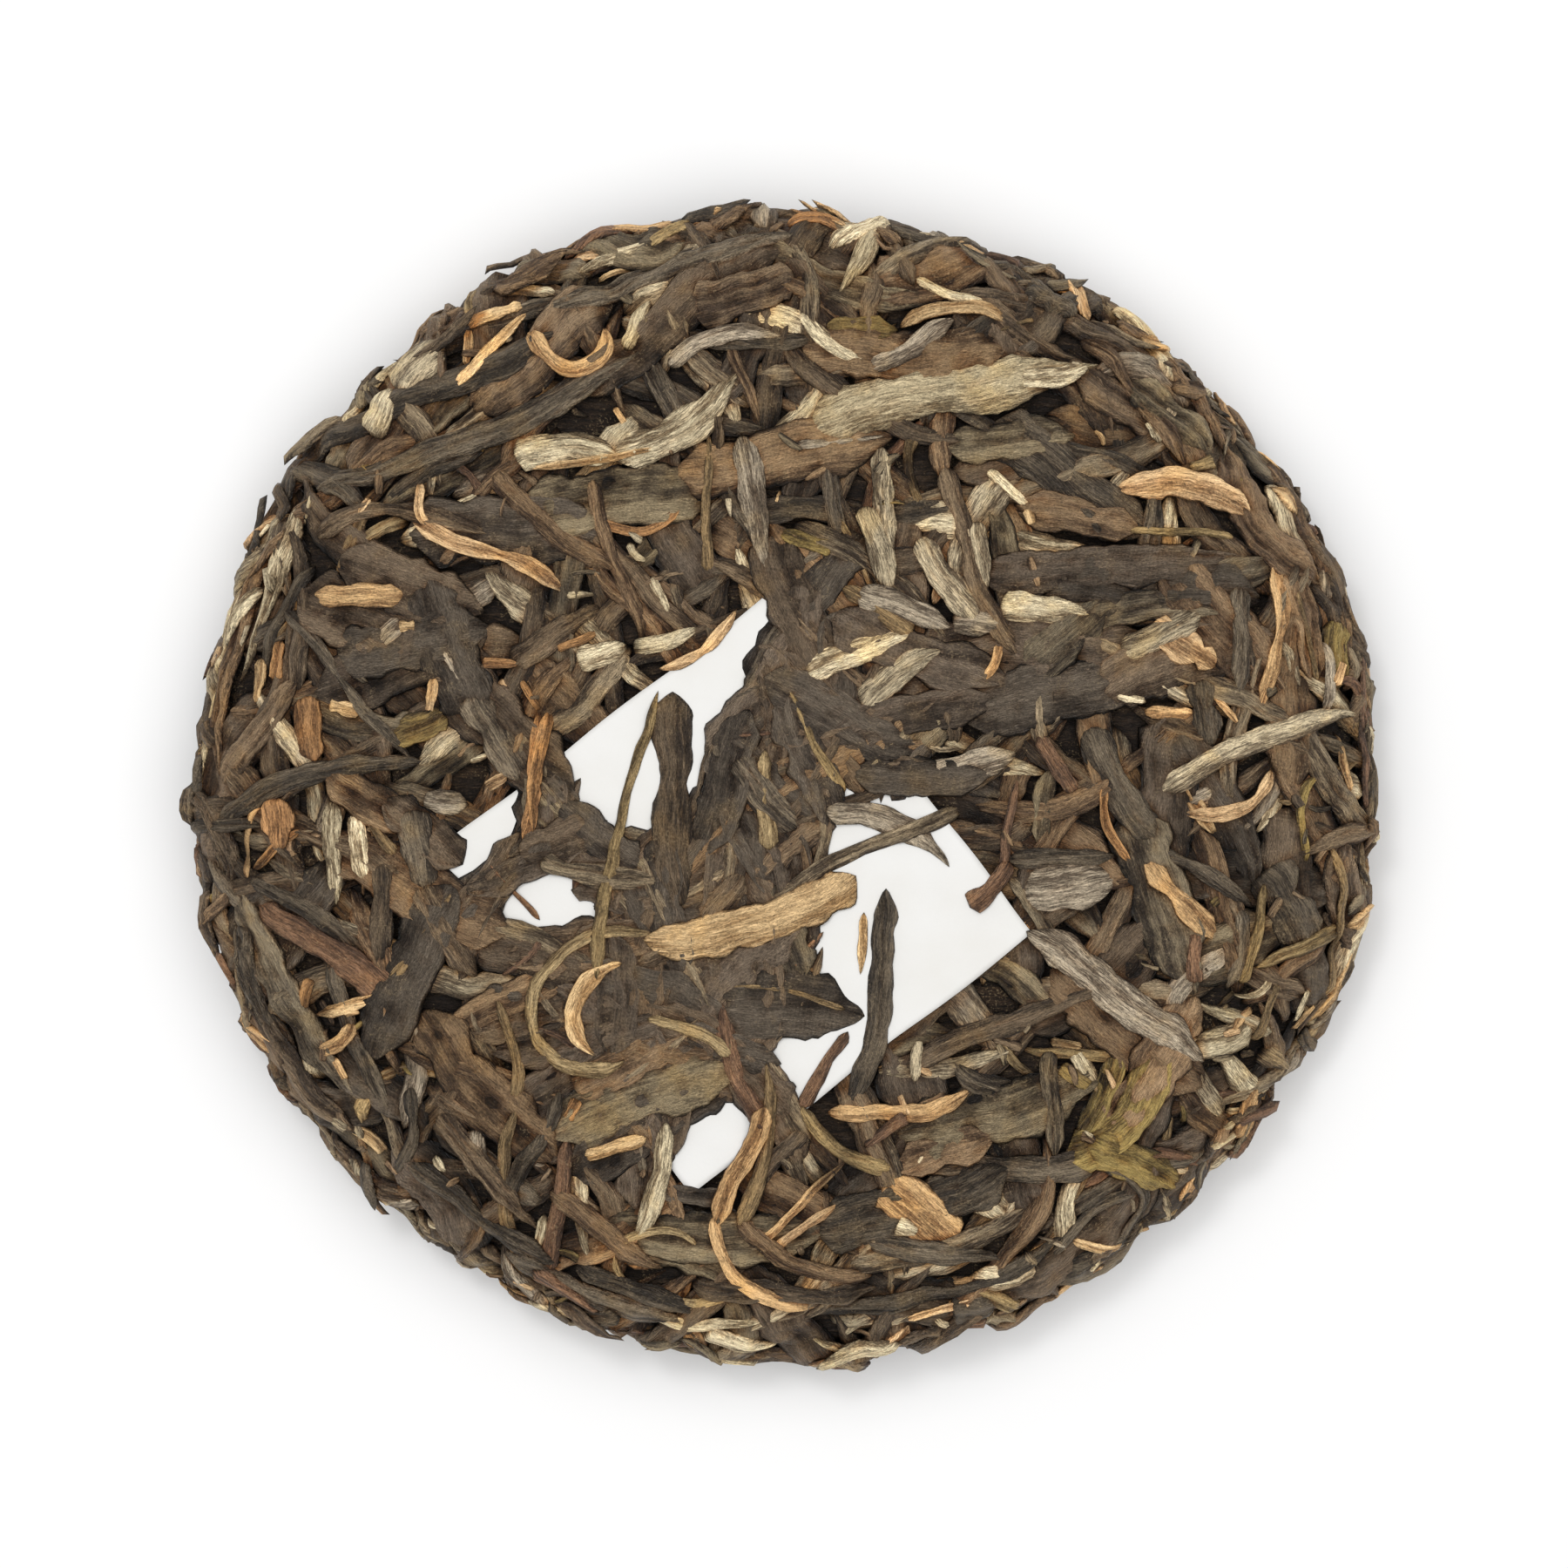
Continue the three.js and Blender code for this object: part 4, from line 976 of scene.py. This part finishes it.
def heap_object(name, leaves):
    """One mesh object with all the leaves given."""
    made = [leaf_mesh(leaf) for leaf in leaves]
    sizes = np.array([(leaf["length"], 2.3 * leaf["width"] + 0.6) for leaf in leaves])
    places, side = pack_rectangles(sizes, 0.25)
    counts = np.array([len(m[0]) for m in made])
    starts = np.concatenate([[0], np.cumsum(counts)[:-1]])
    corners = np.concatenate([m[6] + s for m, s in zip(made, starts)])
    spots = np.concatenate([(m[7] * size + place) / side for m, size, place in zip(made, sizes, places)])
    points, *values = [np.vstack([m[i] for m in made]) for i in range(5)]
    return mesh_object(name, points, np.concatenate([m[5] for m in made]), corners, spots, *values)


def mesh_object(name, places, totals, corners, spots, tint, tone, grain, lie):
    """A mesh object in metres from arrays in millimetres, with its map and its four values."""
    mesh = bpy.data.meshes.new(name)
    mesh.vertices.add(len(places))
    mesh.vertices.foreach_set("co", (places * MM).astype(np.float32).ravel())
    mesh.loops.add(len(corners))
    mesh.loops.foreach_set("vertex_index", corners.astype(np.int32))
    mesh.polygons.add(len(totals))
    mesh.polygons.foreach_set("loop_start", np.concatenate([[0], np.cumsum(totals)[:-1]]).astype(np.int32))
    mesh.polygons.foreach_set("use_smooth", np.ones(len(totals), bool))
    mesh.uv_layers.new(name="OFBake").data.foreach_set("uv", spots.astype(np.float32).ravel())
    for label, value in (("tint", tint), ("tone", tone), ("grain", grain), ("lie", lie)):
        held = mesh.attributes.new(label, "FLOAT_VECTOR", "POINT")
        held.data.foreach_set("vector", value.astype(np.float32).ravel())
    mesh.update(calc_edges=True)
    piece = bpy.data.objects.new(name, mesh)
    bpy.context.scene.collection.objects.link(piece)
    triangles = int((totals - 2).sum())
    print(name, triangles, "triangles")
    return piece


PIECES = ["dark_twists", "black_twists", "dark_blades", "brown_folds", "silver_buds", "tan_strips",
          "olive_stems", "red_twigs", "crumbs"]
pieces = {name: heap_object(name, [leaf for leaf in kept if leaf["piece"] == name]) for name in PIECES}

# %% [markdown]
# Between the leaves the eye reaches down to the pressed mass. A closed core under them stops the light,
# with lumps as small as the leaves. Its colours are darker than any leaf's, painted shade that makes a gap
# look deep and not like a hole.

# %% The core under the leaves
CORE_RINGS, CORE_AROUND = 110, 190
# The core's ground and tone, darker than any leaf's: painted shade for the deep gaps.
CORE_SHADED_GROUND, CORE_SHADED_TONE = (40, 28, 18), (78, 60, 42)
# Its map fills the whole image, and this keeps it a hair off the border.
INSIDE_MAP = 0.9998


def core_object():
    """One closed, lumpy skin along the whole outline, with a point in the middle of both faces."""
    reach = np.linspace(0.6, LENGTH - 0.6, CORE_RINGS)
    angle = np.linspace(0, 2 * math.pi, CORE_AROUND, endpoint=False)
    r, a = np.meshgrid(reach, angle, indexing="ij")
    radius = np.interp(r, REACH, RADIUS)
    x, y = radius * np.cos(a), radius * np.sin(a)
    lumps = np.sin(1.3 * x + 0.7 * np.sin(0.9 * y)) * np.sin(1.1 * y + 0.8 * np.sin(1.2 * x + 0.3 * r))
    height = CORE_LEVEL + 0.35 + 0.3 * lumps
    place = on_cake("top", r * np.cos(a), r * np.sin(a), height)
    points = np.vstack([place[0].mean(axis=0)[None], place.reshape(-1, 3), place[-1].mean(axis=0)[None]])
    totals, corners, spots = strip_faces(CORE_RINGS + 1, CORE_AROUND, False)
    count = len(points)
    tint, tone = [np.tile(linear(colour), (count, 1)) for colour in (CORE_SHADED_GROUND, CORE_SHADED_TONE)]
    return mesh_object("core_bed", points, totals, corners, spots * INSIDE_MAP, tint, tone, points * 0.5,
                       np.zeros((count, 3)))


pieces["core_bed"] = core_object()

# %% [markdown]
# The ticket is one closed sheet: the grid of its upper face, the same grid one thickness of paper lower,
# and a narrow band along its four edges. In its map the two faces lie side by side, with the band in a
# strip above them.

# %% The ticket's mesh
# In the map: the width and height of each face, how far it stays off the border, and the strip's height.
FACE_IN_MAP, OFF_BORDER, STRIP = (0.48, 0.94), 0.01, (0.965, 0.985)


def ticket_object():
    n = PAPER_CELLS + 1
    top = on_cake("top", paper_u, paper_v, paper_top)
    under = on_cake("top", paper_u, paper_v, paper_top - PAPER_THICK)
    points = np.vstack([top.reshape(-1, 3), under.reshape(-1, 3)])
    faces, spots = [], []
    for i in range(PAPER_CELLS):
        for j in range(PAPER_CELLS):
            a, b, c, d = i * n + j, (i + 1) * n + j, (i + 1) * n + j + 1, i * n + j + 1
            square = np.array([(i, j), (i + 1, j), (i + 1, j + 1), (i, j + 1)], float) / PAPER_CELLS
            faces += [(a, b, c, d), (d + n * n, c + n * n, b + n * n, a + n * n)]
            spots += [square * FACE_IN_MAP + (OFF_BORDER, OFF_BORDER),
                      square[::-1] * FACE_IN_MAP + (0.5 + OFF_BORDER, OFF_BORDER)]
    edges = [[(k, 0) for k in range(n)], [(n - 1, k) for k in range(n)],
             [(n - 1 - k, n - 1) for k in range(n)], [(0, n - 1 - k) for k in range(n)]]
    for e, edge in enumerate(edges):
        for k in range(n - 1):
            a, b = edge[k][0] * n + edge[k][1], edge[k + 1][0] * n + edge[k + 1][1]
            faces.append((a + n * n, b + n * n, b, a))
            left, right = (e + k / (n - 1)) / 4.04, (e + (k + 1) / (n - 1)) / 4.04
            spots.append(np.array([(left, STRIP[0]), (right, STRIP[0]), (right, STRIP[1]), (left, STRIP[1])]))
    totals = np.array([len(f) for f in faces])
    corners = np.array([c for f in faces for c in f])
    count = len(points)
    plain = np.ones((count, 3))
    return mesh_object("ticket_paper", points, totals, corners, np.vstack(spots), plain, plain, points, plain)


pieces["ticket_paper"] = ticket_object()

# %% [markdown]
# A finish in Blender is a graph of nodes. Written as sums and products it reads like the maker's recipe, so
# one small class wraps a socket: adding, subtracting or multiplying them adds the Math node that does it. A
# second class holds the material and adds any other node from its type, its settings and its sockets.

# %% Shader maths as Python expressions
class Wire:
    """A value on its way through a finish."""

    def __init__(self, finish, socket):
        self.finish, self.socket = finish, socket

    def maths(self, operation, *values):
        return self.finish.node("ShaderNodeMath", {"operation": operation}, *values)

    def __add__(self, other):
        return self.maths("ADD", self, other)

    def __radd__(self, other):
        return self.maths("ADD", other, self)

    def __sub__(self, other):
        return self.maths("SUBTRACT", self, other)

    def __rsub__(self, other):
        return self.maths("SUBTRACT", other, self)

    def __mul__(self, other):
        return self.maths("MULTIPLY", self, other)

    def __rmul__(self, other):
        return self.maths("MULTIPLY", other, self)

    def sine(self):
        return self.maths("SINE", self)

    def limited(self, low=0.0, high=1.0):
        return self.finish.node("ShaderNodeClamp", {}, Value=self, Min=low, Max=high)

    def ramp(self, low, high):
        """0 below low, 1 above high, and even between them."""
        sockets = {"Value": self, "From Min": low, "From Max": high}
        return self.finish.node("ShaderNodeMapRange", {}, **sockets)


class Finish:
    """One material and its nodes."""

    def __init__(self, name):
        self.material = bpy.data.materials.new(name)
        self.material.use_nodes = True
        self.tree = self.material.node_tree
        self.tree.nodes.clear()

    def node(self, kind, settings, *values, out=0, **sockets):
        """Adds a node, sets it up, fills its sockets in order or by name, and gives one of its outputs."""
        node = self.tree.nodes.new(kind)
        for name, value in settings.items():
            setattr(node, name, value)
        named = [(list(node.inputs)[i], value) for i, value in enumerate(values)]
        for name, value in sockets.items():
            named.append((next(s for s in node.inputs if name in (s.identifier, s.name)), value))
        for socket, value in named:
            if isinstance(value, Wire):
                self.tree.links.new(value.socket, socket)
            else:
                socket.default_value = value
        if isinstance(out, int):
            return Wire(self, node.outputs[out])
        return Wire(self, next(s for s in node.outputs if out in (s.identifier, s.name)))

    def value_on(self, name):
        """A value that the mesh carries on its points."""
        return self.node("ShaderNodeAttribute", {"attribute_name": name}, out="Vector")

    def parts(self, vector):
        return [self.node("ShaderNodeSeparateXYZ", {}, vector, out=i) for i in range(3)]

    def joined(self, x, y, z):
        return self.node("ShaderNodeCombineXYZ", {}, x, y, z)

    def noise(self, vector, scale=1.0, detail=2.0, rough=0.5):
        return self.node("ShaderNodeTexNoise", {}, Vector=vector, Scale=scale, Detail=detail, Roughness=rough)

    def scaled(self, colour, by):
        return self.node("ShaderNodeVectorMath", {"operation": "SCALE"}, Vector=colour, Scale=by)

    def tinted(self, colour, by):
        return self.node("ShaderNodeVectorMath", {"operation": "MULTIPLY"}, colour, by)

    def blend(self, by, first, second):
        return self.node("ShaderNodeMix", {"data_type": "RGBA"}, out="Result_Color",
                         Factor_Float=by, A_Color=first, B_Color=second)

    def surface(self, colour, rough, height, depth, **fixed):
        """The shader itself: what varies is linked, and what doesn't is set on its own socket."""
        normal = self.node("ShaderNodeBump", {}, Height=height, Strength=1.0, Distance=depth * MM)
        sockets = {"Base Color": colour, "Roughness": rough, "Normal": normal}
        sockets.update({name.replace("_", " "): value for name, value in fixed.items()})
        shader = self.node("ShaderNodeBsdfPrincipled", {}, **sockets)
        last = self.tree.nodes.new("ShaderNodeOutputMaterial")
        self.tree.links.new(shader.socket, last.inputs["Surface"])
        return self.material


# %% [markdown]
# A dry leaf has fine fibres along its length, a mottled skin, and on the flattest leaves the marks of the
# cloth's threads. Its crests are paler, partly worn where the press rubbed them and partly a painted
# highlight, and its low edges and grooves, and the points deep among its neighbours, are darker with painted
# shade. Buds have silver hair instead: many fine pale streaks. All of it hangs on the leaf's own
# coordinates, so that the fibres bend with the leaf.

# %% The leaf finish
# One thread of the cloth, in metres, and the turn of its weave on the cake as a cosine and a sine.
CLOTH_THREAD, CLOTH_COS, CLOTH_SIN = 0.00068, 0.82, 0.57
# What a stain multiplies a colour by, what the painted shade of a crevice multiplies it by, and the colour of
# dust.
STAIN, CREVICE_SHADE, DUST = (1.15, 1.0, 0.71), (0.62, 0.41, 0.24), (176, 154, 118)


def opaque(colour):
    """A colour as it looks, as the four values of a colour socket."""
    return (*linear(colour), 1.0)


def leaf_finish(name, streak, hair, cloth, dull, relief):
    """The skin of one kind, from how streaked, hairy, marked by the cloth, rough and deep it is."""
    f = Finish(name)
    along, across, number = f.parts(f.value_on("grain"))
    rise, hollow, turned = f.parts(f.value_on("lie"))
    tint, tone = f.value_on("tint"), f.value_on("tone")
    place = f.node("ShaderNodeTexCoord", {}, out="Object")
    x, y = f.parts(place)[:2]
    mottle = f.noise(place, scale=260.0, detail=4.0, rough=0.65).ramp(0.34, 0.66)
    bend = across + 0.25 * mottle
    broad = f.noise(f.joined(along * 0.12, bend * 0.9, number), detail=2.0, rough=0.55).ramp(0.38, 0.62)
    fibre_place = f.joined(along * 0.22, bend * 2.6, number + 3.0)
    thread_place = f.joined(along * 0.7, bend * 6.5, number + 9.0)
    fibres = f.noise(fibre_place, detail=3.0, rough=0.75).ramp(0.41, 0.59)
    threads = f.noise(thread_place, detail=2.0, rough=0.6).ramp(0.41, 0.59)
    stain = f.noise(place, scale=130.0, detail=3.0, rough=0.6).ramp(0.52, 0.68)
    fine = f.noise(place, scale=3300.0, detail=2.0, rough=0.6).ramp(0.38, 0.62)
    turned_x, turned_y = (x * CLOTH_COS + y * CLOTH_SIN), (y * CLOTH_COS - x * CLOTH_SIN)
    thread = 2 * math.pi / CLOTH_THREAD
    weave = (turned_x * thread + 2.0 * mottle).sine() * (turned_y * thread - 2.0 * mottle).sine()
    marked = f.noise(place, scale=70.0, detail=1.0).ramp(0.45, 0.58) * rise.ramp(0.25, 0.7) * cloth
    # Crests, where the section stands high, turn paler: partly wear, partly a painted highlight.
    crest_wear_and_highlight, edge = rise.ramp(0.2, 0.95), rise.ramp(0.0, 0.3)
    mixing = (streak * (fibres - 0.5) + 0.6 * broad + hair * 0.5 * (threads - 0.5) + 0.30 * crest_wear_and_highlight
              + 0.3 * (mottle - 0.5) + 0.45 * (turned - 0.5))
    colour = f.blend((mixing + 0.10).limited(), tint, tone)
    of_fibres, of_threads, of_mottle = 0.30 + 0.35 * hair, 0.38 + 0.5 * hair, 0.28 + 0.2 * cloth
    least = 1.04 - 0.5 * (of_fibres + of_threads + of_mottle)
    light = (of_fibres * fibres + of_threads * threads + of_mottle * mottle + 0.78 * fine + 0.72 * crest_wear_and_highlight
             + 0.26 * weave * marked + least)
    # Low edges, tips and grooves, where the section is thin, are darkened here: painted shade.
    colour = f.scaled(colour, (light * (0.45 + 0.55 * edge)).limited(0.1, 2.1))
    colour = f.blend(stain * 0.65, colour, f.tinted(colour, STAIN))
    # Points deep among their neighbours are darkened towards a warm brown: painted shade in the crevices.
    colour = f.blend(hollow, colour, f.tinted(colour, CREVICE_SHADE))
    dust = (fine.ramp(0.8, 1.0) * mottle.ramp(0.55, 0.8) * 0.35).limited()
    colour = f.blend(dust, colour, opaque(DUST))
    rough = (dull + 0.2 * (mottle - 0.5) + 0.15 * (0.5 - fibres)).limited(0.3, 1.0)
    height = (1.2 * (fibres - 0.5) + 1.2 * (broad - 0.5) + 1.1 * (threads - 0.5) + 0.9 * (mottle - 0.5)
              + 0.34 * (fine - 0.5) + 0.40 * weave * marked)
    return f.surface(colour, rough, height, relief, Specular_IOR_Level=0.38)


def paper_finish():
    """White paper with a little pulp in it, and faintly clouded."""
    f = Finish("ticket_paper")
    place = f.node("ShaderNodeTexCoord", {}, out="Object")
    pulp = f.noise(place, scale=900.0, detail=4.0)
    cloud = f.noise(place, scale=120.0, detail=3.0)
    colour = f.blend(cloud.ramp(0.35, 0.75) * 0.5, opaque((230, 229, 226)), opaque((221, 218, 211)))
    height = 0.5 * (pulp - 0.5) + 0.8 * (cloud - 0.5)
    return f.surface(colour, 0.72 + 0.1 * (pulp - 0.5), height, 0.12, Specular_IOR_Level=0.35)


# Each finish: its name, streaks, hair, marks of the cloth, roughness, and relief in millimetres.
RECIPES = {
    "dark_twists": ("dark_twisted_leaf", 0.60, 0.4, 0.7, 0.58, 0.20),
    "black_twists": ("blue_black_leaf", 0.65, 0.4, 0.7, 0.54, 0.20),
    "dark_blades": ("dark_pressed_blade", 0.30, 0.0, 1.3, 0.58, 0.20),
    "brown_folds": ("brown_folded_leaf", 0.40, 0.1, 1.0, 0.60, 0.20),
    "silver_buds": ("silver_bud", 0.55, 0.8, 0.5, 0.66, 0.18),
    "tan_strips": ("tan_leaf_skin", 0.60, 0.5, 0.8, 0.62, 0.15),
    "olive_stems": ("olive_stem", 0.60, 0.4, 0.5, 0.58, 0.13),
    "red_twigs": ("red_brown_twig", 0.65, 0.4, 0.3, 0.58, 0.14),
    "crumbs": ("leaf_crumbs", 0.60, 0.4, 0.0, 0.70, 0.12),
    "core_bed": ("pressed_core", 0.60, 0.3, 0.0, 0.80, 0.25),
}
finishes = {name: leaf_finish(*recipe) for name, recipe in RECIPES.items()}
finishes["ticket_paper"] = paper_finish()
for name, piece in pieces.items():
    piece.data.materials.append(finishes[name])
    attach(piece, "root")
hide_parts("ticket")
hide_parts("tea_cake")
for name in PIECES:
    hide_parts("tea_cake")

# %% [markdown]
# The photograph is a cut-out on pure white with a soft shadow close round the cake, taken from straight
# above. A white floor under an even sky and a broad lamp overhead give that shadow, a small lamp from the
# upper left gives the leaves their form, and a long lens from high up keeps the outline as round as it is
# there.

# %% Floor, light and camera
FLOOR_WHITE, SKY = (0.93, 0.93, 0.93, 1.0), 0.46
scene = bpy.context.scene
floor_mesh = bpy.data.meshes.new("floor")
floor_mesh.from_pydata([(-3, -3, 0), (3, -3, 0), (3, 3, 0), (-3, 3, 0)], [], [(0, 1, 2, 3)])
floor = bpy.data.objects.new("floor", floor_mesh)
scene.collection.objects.link(floor)
floor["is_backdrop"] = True
floor_finish = Finish("white_floor")
floor_grain = floor_finish.noise(floor_finish.node("ShaderNodeTexCoord", {}, out="Object"), scale=40.0)
floor_mesh.materials.append(floor_finish.surface(FLOOR_WHITE, 0.9 + 0.02 * floor_grain, floor_grain, 0.01))

world = bpy.data.worlds.new("studio")
world.use_nodes = True
world.node_tree.nodes["Background"].inputs["Color"].default_value = (1.0, 1.0, 1.0, 1.0)
world.node_tree.nodes["Background"].inputs["Strength"].default_value = SKY
scene.world = world


def soft_lamp(name, place, size, power):
    """A round lamp, in metres and watts, that points at the middle of the cake."""
    light = bpy.data.lights.new(name, "AREA")
    light.shape, light.size, light.energy = "DISK", size, power
    lamp = bpy.data.objects.new(name, light)
    lamp.location = place
    lamp.rotation_euler = (-lamp.location).to_track_quat("-Z", "Y").to_euler()
    scene.collection.objects.link(lamp)


soft_lamp("top_lamp", (0.0, 0.02, 1.0), 1.50, 8.3)
soft_lamp("key_lamp", (-0.20, 0.28, 0.95), 0.22, 1.5)

# How wide the picture is on the cake, and the point of it that the camera looks down on.
FRAME_WIDTH, AIM = 0.200, (-0.00015, 0.0001, 0.014)
camera_data = bpy.data.cameras.new("camera")
camera_data.lens, camera_data.sensor_width = 120.0, 36.0
camera = bpy.data.objects.new("camera", camera_data)
distance = FRAME_WIDTH * camera_data.lens / camera_data.sensor_width
camera.location = (AIM[0], AIM[1], AIM[2] + distance)
scene.collection.objects.link(camera)
scene.camera = camera
scene.view_settings.view_transform = "Standard"
scene.view_settings.look = "None"

# %% [markdown]
# The box round everything in the finished scene is written next to the frame's own box, so that the two can
# be compared.

# %% Measuring the result against the frame
low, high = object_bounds()
print("box in mm, frame then scene:", [round(v / MM, 1) for v in (*cad_low, *cad_high)],
      [round(v / MM, 1) for v in (*low, *high)])
